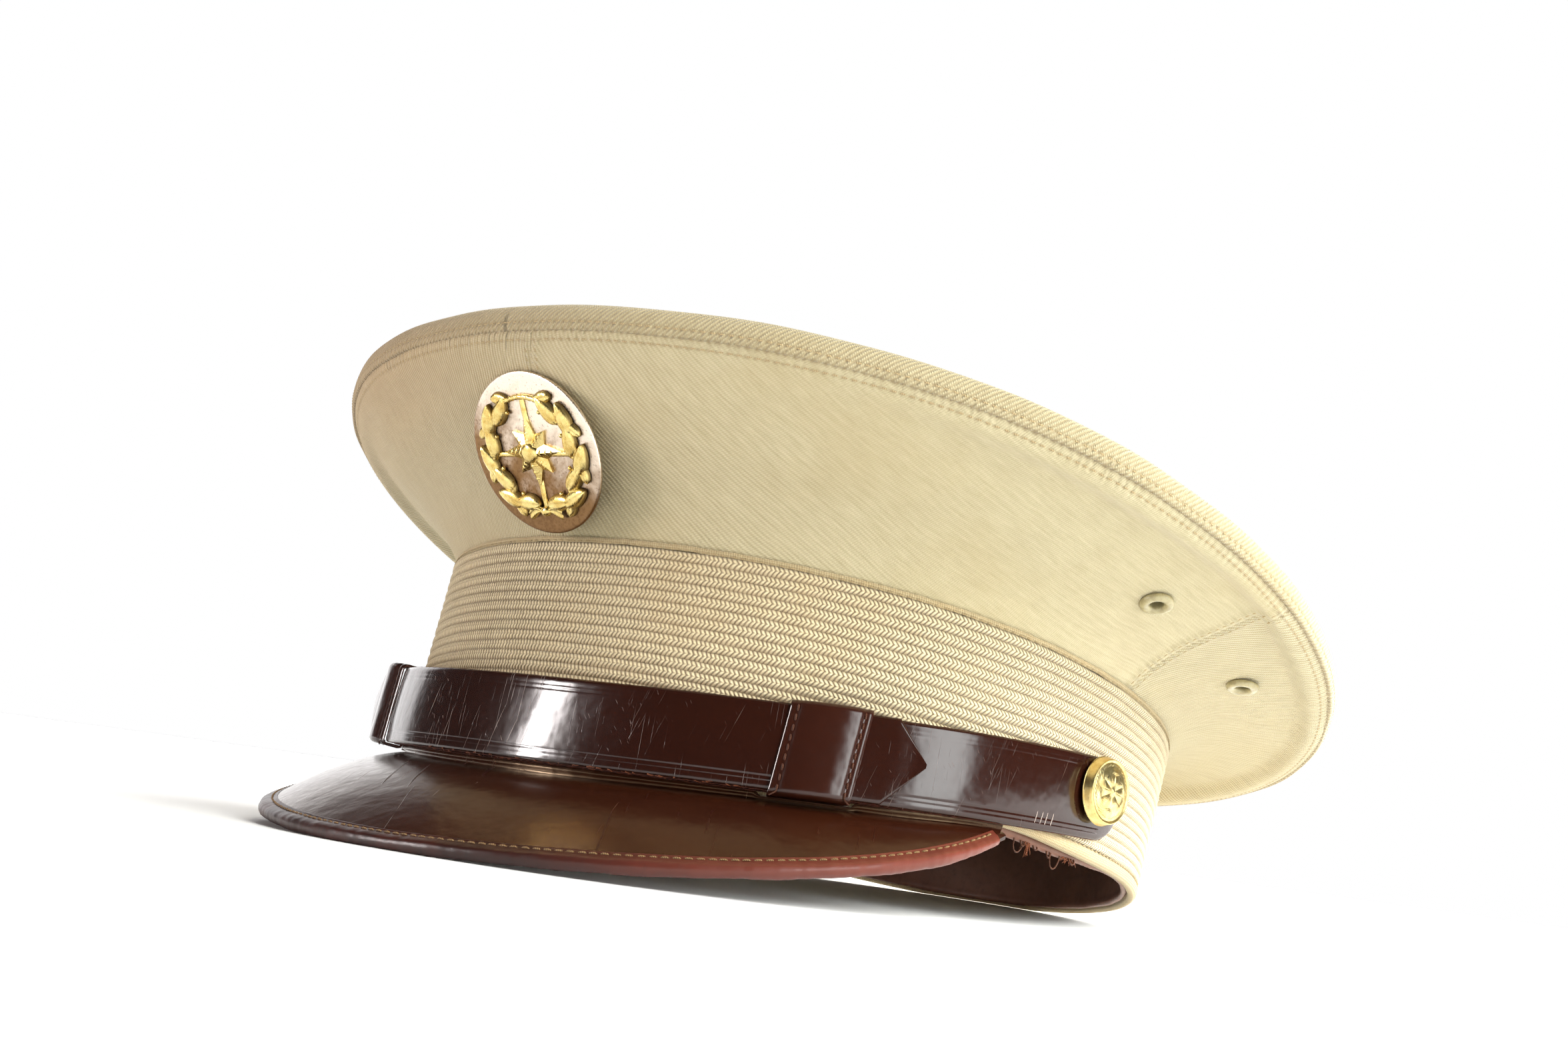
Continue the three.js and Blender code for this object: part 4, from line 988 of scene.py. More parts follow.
def make_sweatband():
    n = 480
    th = np.linspace(0, 2 * PI, n, endpoint=False)[:, None] + PI
    thc = np.linspace(0, 2 * PI, n + 1)[:, None] + PI
    s = arc(head(thc, 0 * thc)[:, 0])[:, None]
    o = -BAND_T - GAP
    b = sweat_bottom(th)
    # overcast roll along its lower edge
    turn = 0.14 * np.abs(sin(PI * s[:-1] / 2.6)) + wobble(th, 71, (19, 33, 51), 0.10)
    prof = np.array(
        [
            (0.0, 36.0), (0.0, 20.0), (0.0, 6.0), (0.05, 2.6), (0.25, 1.4), (0.2, 0.6), (-0.15, 0.12), (-0.6, 0.0),
            (-1.1, 0.25), (-1.35, 0.9), (-1.25, 1.7), (-1.15, 2.8), (-1.2, 6.0), (-1.2, 12.0), (-1.2, 20.0), (-1.2, 28.0),
            (-1.2, 34.0), (-1.1, 35.8), (-0.6, 36.1), (0.0, 36.0),
        ]
    )
    near = np.exp(-((prof[:, 1] / 2.0) ** 2))[None]
    cen = np.array([-0.55, 1.0])
    dirn = prof - cen
    dirn = dirn / np.linalg.norm(dirn, axis=1, keepdims=True)
    off = o + prof[None, :, 0] + turn * near * dirn[None, :, 0]
    ripple = wobble(th, 77, (4, 6, 9), 0.35) * smooth(4, 30, prof[:, 1])[None]
    inner = (prof[:, 0] < -0.9)[None]
    z = b + prof[None, :, 1] + turn * near * dirn[None, :, 1]
    P = head(np.broadcast_to(th, z.shape), z, off - np.abs(ripple) * inner)
    UV = np.zeros((n + 1, len(prof), 2))
    UV[..., 0] = s
    UV[..., 1] = arc(prof)[None]
    B = Build()
    B.grid(P, UV, close=True, away=None, flip=False)
    # face the leather outward from its own middle line
    q = B.q[0]
    v = P.reshape(-1, 3)
    a, bb, c = v[q[:, 0]], v[q[:, 1]], v[q[:, 3]]
    nrm = np.cross(bb - a, c - a)
    midl = head(th, b + 15, o - 0.6)[:, 0]
    ref = a - np.repeat(midl, len(prof) - 1, axis=0)
    ref[:, 2] *= 0.0
    if (nrm * ref).sum() < 0:
        B.q[0], B.uv[0] = q[:, ::-1], B.uv[0][:, ::-1]
    return B.make("sweatband_leather", [M_SWEAT], "sweatband", ["sweatband"])


# ---- peak ---------------------------------------------------------------------------------------------------------
def peak_edge(u):
    th = u * rad(PEAK_TH)
    e = 0.09**2  # rounds off the crease that the power has in the middle
    k = ((u**2 + e) ** (PEAK_POW / 2) - e ** (PEAK_POW / 2)) / ((1 + e) ** (PEAK_POW / 2) - e ** (PEAK_POW / 2))
    p = head(th, 0 * th) + outward(th) * (PEAK_OUT * (1 - k))[..., None]
    p[..., 2] = PEAK_Z + PEAK_RISE * k
    return p


def peak_root(u):
    th = u * rad(PEAK_TH)
    return head(th, band_bottom(th) - 1.1, GAP + 0.1)


def peak_frame(u):
    E, R = peak_edge(u), peak_root(u)
    o = unit(E - R)
    t = unit(peak_edge(np.minimum(1, u + 0.01)) - peak_edge(np.maximum(-1, u - 0.01)))
    m = unit(np.cross(t, o))
    m = np.where(m[..., 2:3] < 0, -m, m)
    return E, R, o, m, t


def thin(u):
    return smooth(0.75, PEAK_U, np.abs(u))


def peak_u(n):
    s = np.linspace(-1, 1, n)
    return PEAK_U * (sin(s * PI / 2) * 0.35 + s * 0.65)


def peak_lift(v, ln):
    return PEAK_BOW * np.minimum(1, ln / 40) * 4 * v * (1 - v) * (1 - 0.4 * v)


def make_peak():
    u = peak_u(300)
    E, R, o, m, t = peak_frame(u)
    ln = np.linalg.norm(E - R, axis=-1)
    B = Build()
    v = np.concatenate([np.linspace(-0.04, 0.92, 60), np.linspace(0.93, 1, 8)])
    P = R[:, None] + (E - R)[:, None] * v[None, :, None]
    wavy = 0.12 * sin(v * 7)[None] * wobble(u * PI, 51, (2, 3, 5), 1.0)[:, None]
    P = P + m[:, None] * (peak_lift(v[None], ln[:, None]) + wavy)[..., None]
    # turned up behind the strap where it is sewn to the band
    th = u * rad(PEAK_TH)
    deg = np.abs(np.degrees(th))
    lo = strap_top(th) - STRAP_W
    top = lo + 0.7 - 1.8 * smooth(34.6, 35.6, deg) * (1 - smooth(46.6, 47.6, deg))
    z0 = P[:, 0, 2]
    k = np.linspace(1, 0, 5)[:-1]
    zf = z0[:, None] + (np.maximum(top - z0, 0.3))[:, None] * k[None]
    Fl = head(np.broadcast_to(th[:, None], zf.shape), zf, 0.55 + 0 * zf)
    P = np.concatenate([Fl, P], 1)
    UV = np.stack([P[..., 0], P[..., 1]], -1)
    B.grid(P, UV, away=(0, -60, -60))
    Pu = R[:, None] + (E - R)[:, None] * v[None, :, None] + m[:, None] * (peak_lift(v[None], ln[:, None]) - (PEAK_T - 0.6 * thin(u))[:, None])[..., None]
    B.grid(Pu, np.stack([Pu[..., 0], Pu[..., 1]], -1), mat=1, away=(0, -60, 60))
    side = np.stack([P[:, -1], Pu[:, -1]], 1)
    B.grid(side, np.zeros((301, 2, 2)), mat=1, away=(0, 0, 0))
    return B.make("visor_leather", [M_PEAK, M_UNDER], "visor", ["visor"])


def make_binding():
    u = peak_u(420)[8:-8]
    E, R, o, m, t = peak_frame(u)
    ln = np.linalg.norm(E - R, axis=-1)
    leg = np.minimum(BIND_W, ln * 0.8)
    g, b = 0.06, BIND_T - 0.02 - 0.25 * thin(u)
    deep = PEAK_T - 0.6 * thin(u)
    sc = wobble(u * PI, 61, (5, 9, 14, 23), 0.12) + wobble(u * PI, 62, (60, 83, 111), 0.05)
    # section: x out past the edge, y up off the leather's face
    r = deep / 2 + g + b
    flat = 0.3 * b  # the upper leg is pressed thin
    pts = []
    for x, y in ((-1.0, -0.02), (-0.99, 0.35), (-0.95, 0.7), (-0.85, 0.85), (-0.8, 0.55), (-0.74, 0.9), (-0.55, 0.97), (-0.3, 1.0)):
        pts.append(("leg", x, y))
    for k in np.linspace(90, -90, 15):
        pts.append(("arc", k, 0))
    for x, y in ((-0.3, 1.0), (-0.6, 1.0), (-0.85, 0.95), (-0.97, 0.7), (-1.0, 0.2)):
        pts.append(("under", x, y))
    rows = []
    for kind, x, y in pts:
        if kind == "leg":
            X = x * leg
            v = 1 + X / ln
            Y = peak_lift(v, ln) + g * 0.2 + (lerp(flat, b, smooth(-0.6, -0.15, x)) + g * 0.8) * y + 0.6 * sc * (y > 0.5)
        elif kind == "arc":
            a = rad(x)
            X = 0.15 + (r * 0.82 + sc) * math.cos(a)
            Y = -deep / 2 + (r + sc) * math.sin(a)
        else:
            X = x * leg
            v = 1 + X / ln
            Y = peak_lift(v, ln) - deep - g * 0.2 - (b + g * 0.8) * y
        X = X + 0 * u
        Y = Y + 0 * u
        rows.append(E + o * X[:, None] + m * Y[:, None])
    P = np.stack(rows, 1)
    UV = np.zeros((len(u) + 1, P.shape[1], 2))
    UV[:-1, :, 0] = arc(E)[:, None]
    UV[:-1, :, 1] = arc(P[len(u) // 2])[None]
    B = Build()
    B.grid(P, UV)
    q, vv = B.q[0], P.reshape(-1, 3)
    a_, b_, c_ = vv[q[:, 0]], vv[q[:, 1]], vv[q[:, 3]]
    cen = np.repeat((E - o * 1.0 - m * (PEAK_T / 2))[:-1], P.shape[1] - 1, axis=0)
    if (np.cross(b_ - a_, c_ - a_) * (a_ - cen)).sum() < 0:
        B.q[0], B.uv[0] = q[:, ::-1], B.uv[0][:, ::-1]
    ob = B.make("visor_binding_leather", [M_BIND], "binding", ["visor_binding"])
    # its row of stitches, sunk along the inner edge
    a = arc(E)
    ss = np.arange(3.0, a[-1] - 3.0, 2.35)
    ss = ss + rng.uniform(-0.12, 0.12, len(ss))
    us = np.interp(ss, a, u)
    E2, R2, o2, m2, t2 = peak_frame(us)
    ln2 = np.linalg.norm(E2 - R2, axis=-1)
    leg2 = np.minimum(BIND_W, ln2 * 0.8)
    X = -0.62 * leg2
    Y = peak_lift(1 + X / ln2, ln2) + g + 0.3 * (BIND_T - 0.25 * thin(us)) + 0.1
    S = Build()
    stitches(S, E2 + o2 * X[:, None] + m2 * Y[:, None], t2, m2, 0.9, 0.25, sink=0.35)
    S.make("visor_stitches", [M_TAN], "binding")
    return ob


# ---- chin strap -----------------------------------------------------------------------------------------------------
def strap_profile():
    """Across the strap: (w, depth), w from top edge to bottom edge; depth below its face."""
    h = STRAP_W / 2
    w = np.concatenate(
        [
            [0.02, 0.1, 0.25, 0.45, 0.8],
            np.linspace(1.1, 3.5, 17),
            np.linspace(4.2, STRAP_W - 4.2, 13),
            np.linspace(STRAP_W - 3.5, STRAP_W - 1.1, 17),
            STRAP_W - np.array([0.8, 0.45, 0.25, 0.1, 0.02]),
        ]
    )
    d = np.minimum(w, STRAP_W - w)
    depth = 0.42 * np.exp(-d / 0.22)
    k = np.where(w > STRAP_W / 2, 1.0, 0.45)
    depth = depth + k * (0.05 * np.exp(-(((d - 1.8) / 0.28) ** 2)) + 0.075 * np.exp(-(((d - 2.8) / 0.3) ** 2)))
    return h - w, depth


def make_strap(name, st, off_fn, half_fn, node, seed, lines=lambda d: 1.0 + 0 * d, mats=None):
    d = np.asarray(st, float)
    th = rad(d)[:, None]
    w, depth = strap_profile()
    half = half_fn(d)[:, None]
    k = half / (STRAP_W / 2)
    body = smooth(0.3, 0.95, k)
    mid = strap_top(th) - STRAP_W / 2 + wobble(th, seed, (3, 5, 8), 0.12)
    off = off_fn(d)[:, None] + wobble(th, seed + 1, (4, 7, 11, 16), 0.07)
    crown = 0.34 * (1 - (w / (STRAP_W / 2)) ** 2)[None]
    line = lines(d)[:, None]
    plain = 0.42 * np.exp(-np.minimum(9.5 - w, 9.5 + w) / 0.22)[None]
    dep = plain + (depth[None] - plain) * line
    z = mid + w[None] * k
    P = head(np.broadcast_to(th, z.shape), z, off + STRAP_T - 0.1 + crown * body - dep)
    s = arc(head(rad(d), strap_top(rad(d)), 3.0))[:, None]
    UV = np.zeros((len(d) + 1, z.shape[1], 2))
    UV[:-1, :, 0] = s
    UV[:-1, :, 1] = w[None]
    B = Build()
    B.grid(P, UV, away=MID)
    # cut edges and back
    rough = 0.05 * wobble(th, seed + 2, (131, 211, 307), 1.0)
    for sgn, idx in ((1, 0), (-1, -1)):
        zz = mid + sgn * (half + np.array([0.0, 0.06, 0.04, -0.1])[None]) + rough
        oo = off + np.array([STRAP_T - 0.4, STRAP_T - 0.8, 0.3, 0.0])[None]
        G = head(np.broadcast_to(th, zz.shape), zz, oo)
        G = np.concatenate([P[:, idx][:, None], G], 1)
        B.grid(G, mat=1, away=None, flip=(sgn > 0))
    zz = mid + np.linspace(1, -1, 5)[None] * (half - 0.1)
    G = head(np.broadcast_to(th, zz.shape), zz, off + 0 * zz)
    B.grid(G, mat=1, toward=MID)
    for e in (0, -1):
        face = P[e]
        zz = mid[e] + w * k[e]
        back = head(np.full(len(w), th[e, 0]), zz, np.full(len(w), off[e, 0]))
        B.grid(np.stack([face, back], 1), mat=1)
    return B.make(name, mats or [M_STRAP, M_RAW], "strap", [node])


def round_end(d, end, length):
    x = np.abs(end - d) / length
    y = (STRAP_W / 2) * (0.42 + 0.58 * np.sqrt(np.clip(1 - (1 - np.minimum(x, 1)) ** 2, 0, 1)))
    return np.where(x >= 1, STRAP_W / 2, y)


def make_straps():
    e = 4.2 * (1 - cos(np.linspace(0, PI / 2, 16)))
    st = np.concatenate([-STRAP_END + e, np.linspace(-STRAP_END + 4.6, TIP[0], 260), np.linspace(TIP[0] + 0.15, TIP[1], 22)])

    def half(d):
        h = round_end(d, -STRAP_END, 4.2)
        tip = lerp(STRAP_W / 2, 0.5, np.clip((d - TIP[0]) / (TIP[1] - TIP[0]), 0, 1))
        return np.where(d > TIP[0], tip, h)

    make_strap(
        "strap_outer_leather", st, lambda d: outer_off(d) + 1.2 * np.clip((d - KEEP_L[1]) / (TIP[1] - KEEP_L[1]), 0, 1) ** 2,
        half, "strap_outer", 81,
        lines=lambda d: 1 - smooth(44, 46.5, d) - (1 - smooth(-87, -85, d)),
    )
    st = np.concatenate([np.linspace(KEEP_R[0] + 0.6, STRAP_END - 4.6, 240), (STRAP_END - e)[::-1]])
    make_strap(
        "strap_inner_leather", st, inner_off, lambda d: round_end(d, STRAP_END, 4.2), "strap_inner", 91,
        lines=lambda d: 1 - smooth(85, 87, d),
    )


def make_strap_wear():
    """Four light thread ends near the left button and the cracked lower edge in front."""
    S, O = Build(), Build()
    deg = np.array([72.6, 73.6, 74.5, 75.6])
    th = rad(deg)
    z = strap_top(th) - STRAP_W + 2.6
    C = head(th, z, inner_off(deg) + STRAP_T + 0.06)
    T = vec(0.12 + 0 * th, 0 * th, 1 + 0 * th)
    stitches(S, C, T, outward(th), 1.5, 0.12, sink=0.1)
    r = np.random.default_rng(9)
    for d0 in np.sort(r.uniform(-14, 33, 90)):
        n = 6
        k = np.linspace(0, 1, n)
        th = rad(d0 + r.uniform(0.2, 1.1) * k)
        z = strap_top(th) - STRAP_W + 0.15 + np.cumsum(r.normal(0, 0.07, n)) - 0.35 * k * (r.uniform() < 0.3)
        P = head(th, z, outer_off(d0) + r.uniform(0.5, STRAP_T) + 0.12 * np.cumsum(r.normal(0, 0.3, n)))
        tube(O, P, r.uniform(0.09, 0.2) * (1 - 0.7 * k), 5)
    S.make("strap_marks", [M_PALE], "strap")
    O.make("strap_fray", [M_ORANGE], "strap")


def keeper_ring(h, lo, hi, r, n):
    """A rounded loop in (z, off), closed, n points a corner."""
    pts = []
    for cz, co, a0 in ((h - r, hi - r, 0), (-h + r, hi - r, 90), (-h + r, lo + r, 180), (h - r, lo + r, 270)):
        # angle 0 points to +z, 90 to +off
        for a in np.linspace(0, 90, n):
            t = rad(a)
            if a0 == 0:
                dz, do = math.cos(t), math.sin(t)
            elif a0 == 90:
                dz, do = -math.sin(t), math.cos(t)
            elif a0 == 180:
                dz, do = -math.cos(t), -math.sin(t)
            else:
                dz, do = math.sin(t), -math.cos(t)
            pts.append((cz + r * dz, co + r * do))
    return np.array(pts)


def make_keeper(name, span, node, tongue, seed):
    lo, hi = span
    d = np.concatenate([[lo, lo + 0.06, lo + 0.2], np.linspace(lo + 0.45, hi - 0.45, 44), [hi - 0.2, hi - 0.06, hi]])
    th = rad(d)[:, None]
    edge = np.minimum(d - lo, hi - d)
    lip = 0.22 * np.exp(-edge / 0.10)
    mm = edge * 1.66
    # the face dips along both rows of stitches and is full between them
    dip = 0.34 * np.exp(-(((mm - 1.6) / 0.6) ** 2)) + 0.25 * np.exp(-(mm / 1.0) ** 2)
    full = 0.30 * smooth(2.2, 6.0, mm)
    x = 2 * (d - lo) / (hi - lo) - 1
    bow = (1.9 if tongue else 0.9) * (1 - x**2) + (1.1 if tongue else 0.0) * (1 - x)
    k = KEEP_T
    h = STRAP_W / 2 + GAP
    out = keeper_ring(h + k, KEEP_IN, KEEP_FRONT + k, 1.5, 7)
    inn = keeper_ring(h, KEEP_IN + k * 0.8, KEEP_FRONT, 0.8, 7)
    # more points along the long faces
    def dense(p):
        p = np.vstack([p, p[:1]])
        s = arc(p)
        return along(p, np.linspace(0, s[-1], 96, endpoint=False))

    B = Build()
    mid = strap_top(th) - STRAP_W / 2
    for ring, inside in ((dense(out), False), (dense(inn), True)):
        front = smooth(KEEP_FRONT - 2.5, KEEP_FRONT - 0.5, ring[:, 1])[None]
        shape = (full - dip - lip + bow)[:, None] * front if not inside else bow[:, None] * front
        z = mid + ring[None, :, 0] - (0 if inside else 1) * lip[:, None] * np.sign(ring[None, :, 0]) * (1 - front)
        P = head(np.broadcast_to(th, z.shape), z, ring[None, :, 1] + shape)
        P = np.swapaxes(P, 0, 1)
        s = arc(head(rad(d), 0 * d))
        UV = np.zeros((len(ring) + 1, len(d), 2))
        UV[..., 0] = s[None]
        UV[..., 1] = np.linspace(0, 50, len(ring) + 1)[:, None]
        cen = head(np.array(rad((lo + hi) / 2)), mid.mean(), (KEEP_IN + KEEP_FRONT) / 2)
        if inside:
            B.grid(P, UV, close=True, mat=1, toward=cen)
            inner_edge = (P[:, 0], P[:, -1])
        else:
            B.grid(P, UV, close=True, mat=0, away=cen)
            outer_edge = (P[:, 0], P[:, -1])
    for a, b in zip(inner_edge, outer_edge):
        B.grid(np.stack([a, b], 1), None, close=True, mat=1)
    if tongue:
        dt = np.concatenate([np.linspace(span[0] + 1.0, -TIP[0], 20), np.linspace(-TIP[0] - 0.15, -TIP[1], 22)])
        w, depth = strap_profile()
        half = np.where(dt < -TIP[0], lerp(9.5, 0.5, np.clip((-dt - TIP[0]) / (TIP[1] - TIP[0]), 0, 1)), 9.5)[:, None]
        tt = rad(dt)[:, None]
        m2 = strap_top(tt) - STRAP_W / 2
        z = m2 + w[None] * half / 9.5
        plain = 0.3 * np.exp(-np.minimum(9.5 - w, 9.5 + w) / 0.22)[None]
        lift = (6.6 * np.clip((-dt - (-hi + 8.6)) / (TIP[1] + hi - 8.6), 0, 1) ** 1.1 + 2.3)[:, None]
        off = KEEP_FRONT + k * 0.98 - plain + lift
        P = head(np.broadcast_to(tt, z.shape), z, off + 0 * z)
        UV = np.zeros((len(dt) + 1, len(w), 2))
        UV[:-1, :, 0] = arc(head(rad(dt), 0 * dt))[:, None]
        UV[:-1, :, 1] = w[None]
        B.grid(P, UV, away=MID)
        Pb = head(np.broadcast_to(tt, z.shape), z, KEEP_FRONT - 0.9 + lift + 0 * z)
        B.grid(Pb, UV, mat=1, toward=MID)
        for idx in (0, -1):
            B.grid(np.stack([P[:, idx], Pb[:, idx]], 1), mat=1)
        B.grid(np.stack([P[-1], Pb[-1]], 1), mat=1)
    ob = B.make(name, [M_LOOP, M_RAW], "strap", [node])
    S = Build()
    for deg in (lo + 0.95, hi - 0.95):
        zz = np.linspace(8.6, -8.8, 9) + rng.uniform(-0.08, 0.08, 9)
        t0 = np.full(len(zz), rad(deg))
        m0 = strap_top(t0) - STRAP_W / 2
        C = head(t0, m0 + zz, KEEP_FRONT + k - 0.28 + (0.7 if tongue else 0.35))
        T = np.tile([0, 0, 1.0], (len(zz), 1)) + outward(t0) * 0.0
        T = T + np.cross(outward(t0), [0, 0, 1.0]) * 0.06
        stitches(S, C, T, outward(t0), 0.82, 0.27, sink=0.4)
    # thread tails at the lower right
    for sgn, deg in ((1, hi - 0.9), (-1, lo + 1.0)):
        t0 = np.linspace(rad(deg), rad(deg + sgn * 0.7), 10)
        m0 = strap_top(t0) - STRAP_W / 2
        P = head(t0, m0 - 9.4 - 1.2 * np.linspace(0, 1, 10) ** 0.7, KEEP_FRONT + 0.55 + 0.5 * sin(np.linspace(0, 2.6, 10)))
        tube(S, P, 0.17, 6)
    S.make(name + "_stitches", [M_BROWN], "strap")
    return ob


# ---- turned pieces ------------------------------------------------------------------------------------------------------
def basis(axis):
    a = unit(np.asarray(axis, float))
    x = unit(np.cross(a, [0, 0, 1.0]))
    y = np.cross(x, a)
    y = y if y[2] > 0 else -y
    x = np.cross(y, a)
    return x, y, a


def lathe(B, prof, sides, at, axis, relief=None, mat=0):
    """prof rows (r, h) from the middle out and down; relief(r, angle) adds height."""
    x, y, a = basis(axis)
    prof = np.asarray(prof, float)
    fi = np.linspace(0, 2 * PI, sides, endpoint=False)[:, None]
    r, h = prof[None, :, 0], prof[None, :, 1] + 0 * fi
    if relief is not None:
        h = h + relief(r + 0 * fi, fi + 0 * r)
    P = at + (r * cos(fi))[..., None] * x + (r * sin(fi))[..., None] * y + h[..., None] * a
    UV = np.zeros((sides + 1, len(prof), 2))
    fc = np.linspace(0, 2 * PI, sides + 1)[:, None]
    UV[..., 0] = r * cos(fc)
    UV[..., 1] = r * sin(fc)
    q0 = len(B.q)
    B.grid(P, UV, close=True, mat=mat)
    # outward: the face near the middle looks along the axis
    q = B.q[q0] - (B.n - len(P.reshape(-1, 3)))
    v = P.reshape(-1, 3)
    k = np.arange(0, len(q), max(1, (len(prof) - 1)))
    n = np.cross(v[q[k, 1]] - v[q[k, 0]], v[q[k, 3]] - v[q[k, 0]])
    if (n @ a).sum() < 0:
        B.q[q0], B.uv[q0] = B.q[q0][:, ::-1], B.uv[q0][:, ::-1]


def make_button(name, side, node):
    th = np.array(side * rad(BUTTON_TH))
    axis = outward(th)
    at = head(th, strap_top(th) - STRAP_W / 2 + BUTTON_UP, 0.0) + axis * (OFF_REST + STRAP_T + 0.25)
    r = np.concatenate([np.linspace(0.02, 6.1, 60), np.linspace(6.2, 7.95, 16)])
    dome = 4.0 - 0.75 * (r / 7.0) ** 2
    lip = np.where(r > 6.6, 0.4 * np.exp(-(((r - 7.2) / 0.3) ** 2)), 0)
    edge = 1.9 * smooth(7.4, 7.95, r)
    h = dome + lip - edge
    prof = np.stack([r, h], -1)
    prof = np.concatenate([prof, [(7.95, 1.4), (7.75, 0.95), (7.1, 0.5), (5.0, 0.3), (1.3, 0.25)]])

    def relief(rr, a):
        inside = (rr < 6.8).astype(float)
        rope = 0.16 * np.exp(-(((rr - 6.2) / 0.28) ** 2)) * (0.6 + 0.4 * sin(a * 44 + rr * 6))
        # rosette: two rings of petals round a boss
        p1 = 0.42 * np.exp(-(((rr - 2.7) / 1.15) ** 2)) * np.abs(cos(a * 3)) ** 0.7
        vein = -0.14 * np.exp(-((sin(a * 6) / 0.16) ** 2)) * np.exp(-(((rr - 2.9) / 1.1) ** 2))
        p2 = 0.3 * np.exp(-(((rr - 4.75) / 0.7) ** 2)) * np.abs(sin(a * 3)) ** 1.4
        boss = 0.34 * np.exp(-((rr / 0.75) ** 2))
        grain = 0.04 * sin(rr * 17 + a * 5) * sin(a * 23 - rr * 5)
        return inside * 0.6 * (rope + p1 + vein + p2 + boss + grain)

    B = Build()
    lathe(B, prof, 160, at, axis, relief)
    tube(B, np.array([at - axis * t for t in np.linspace(-0.3, 3.9, 6)]), 1.25, 12)
    return B.make(name, [M_GILT], "gilt", [node])


DISC_AXIS = np.array([0, -math.cos(rad(DISC_TILT)), -math.sin(rad(DISC_TILT))])
DISC_AT = np.array([0, DISC_Y, DISC_Z])


def make_disc():
    r = np.concatenate([np.linspace(1.5, 17.6, 40), np.linspace(17.8, DISC_R, 14)])
    top = DISC_T + 0.22 * (1 - (r / DISC_R) ** 2)
    rnd = DISC_R - r
    top = top - 0.22 * np.exp(-rnd / 0.16)
    prof = np.concatenate([np.stack([r, top], -1), [(DISC_R + 0.02, 0.55), (DISC_R, 0.15), (DISC_R - 0.2, 0.0), (10, 0.0), (1.5, 0.0)]])
    B = Build()
    lathe(B, prof, 200, DISC_AT, DISC_AXIS)
    return B.make("badge_disc_plate", [M_PLATE], "badge_plate", ["badge_disc"])


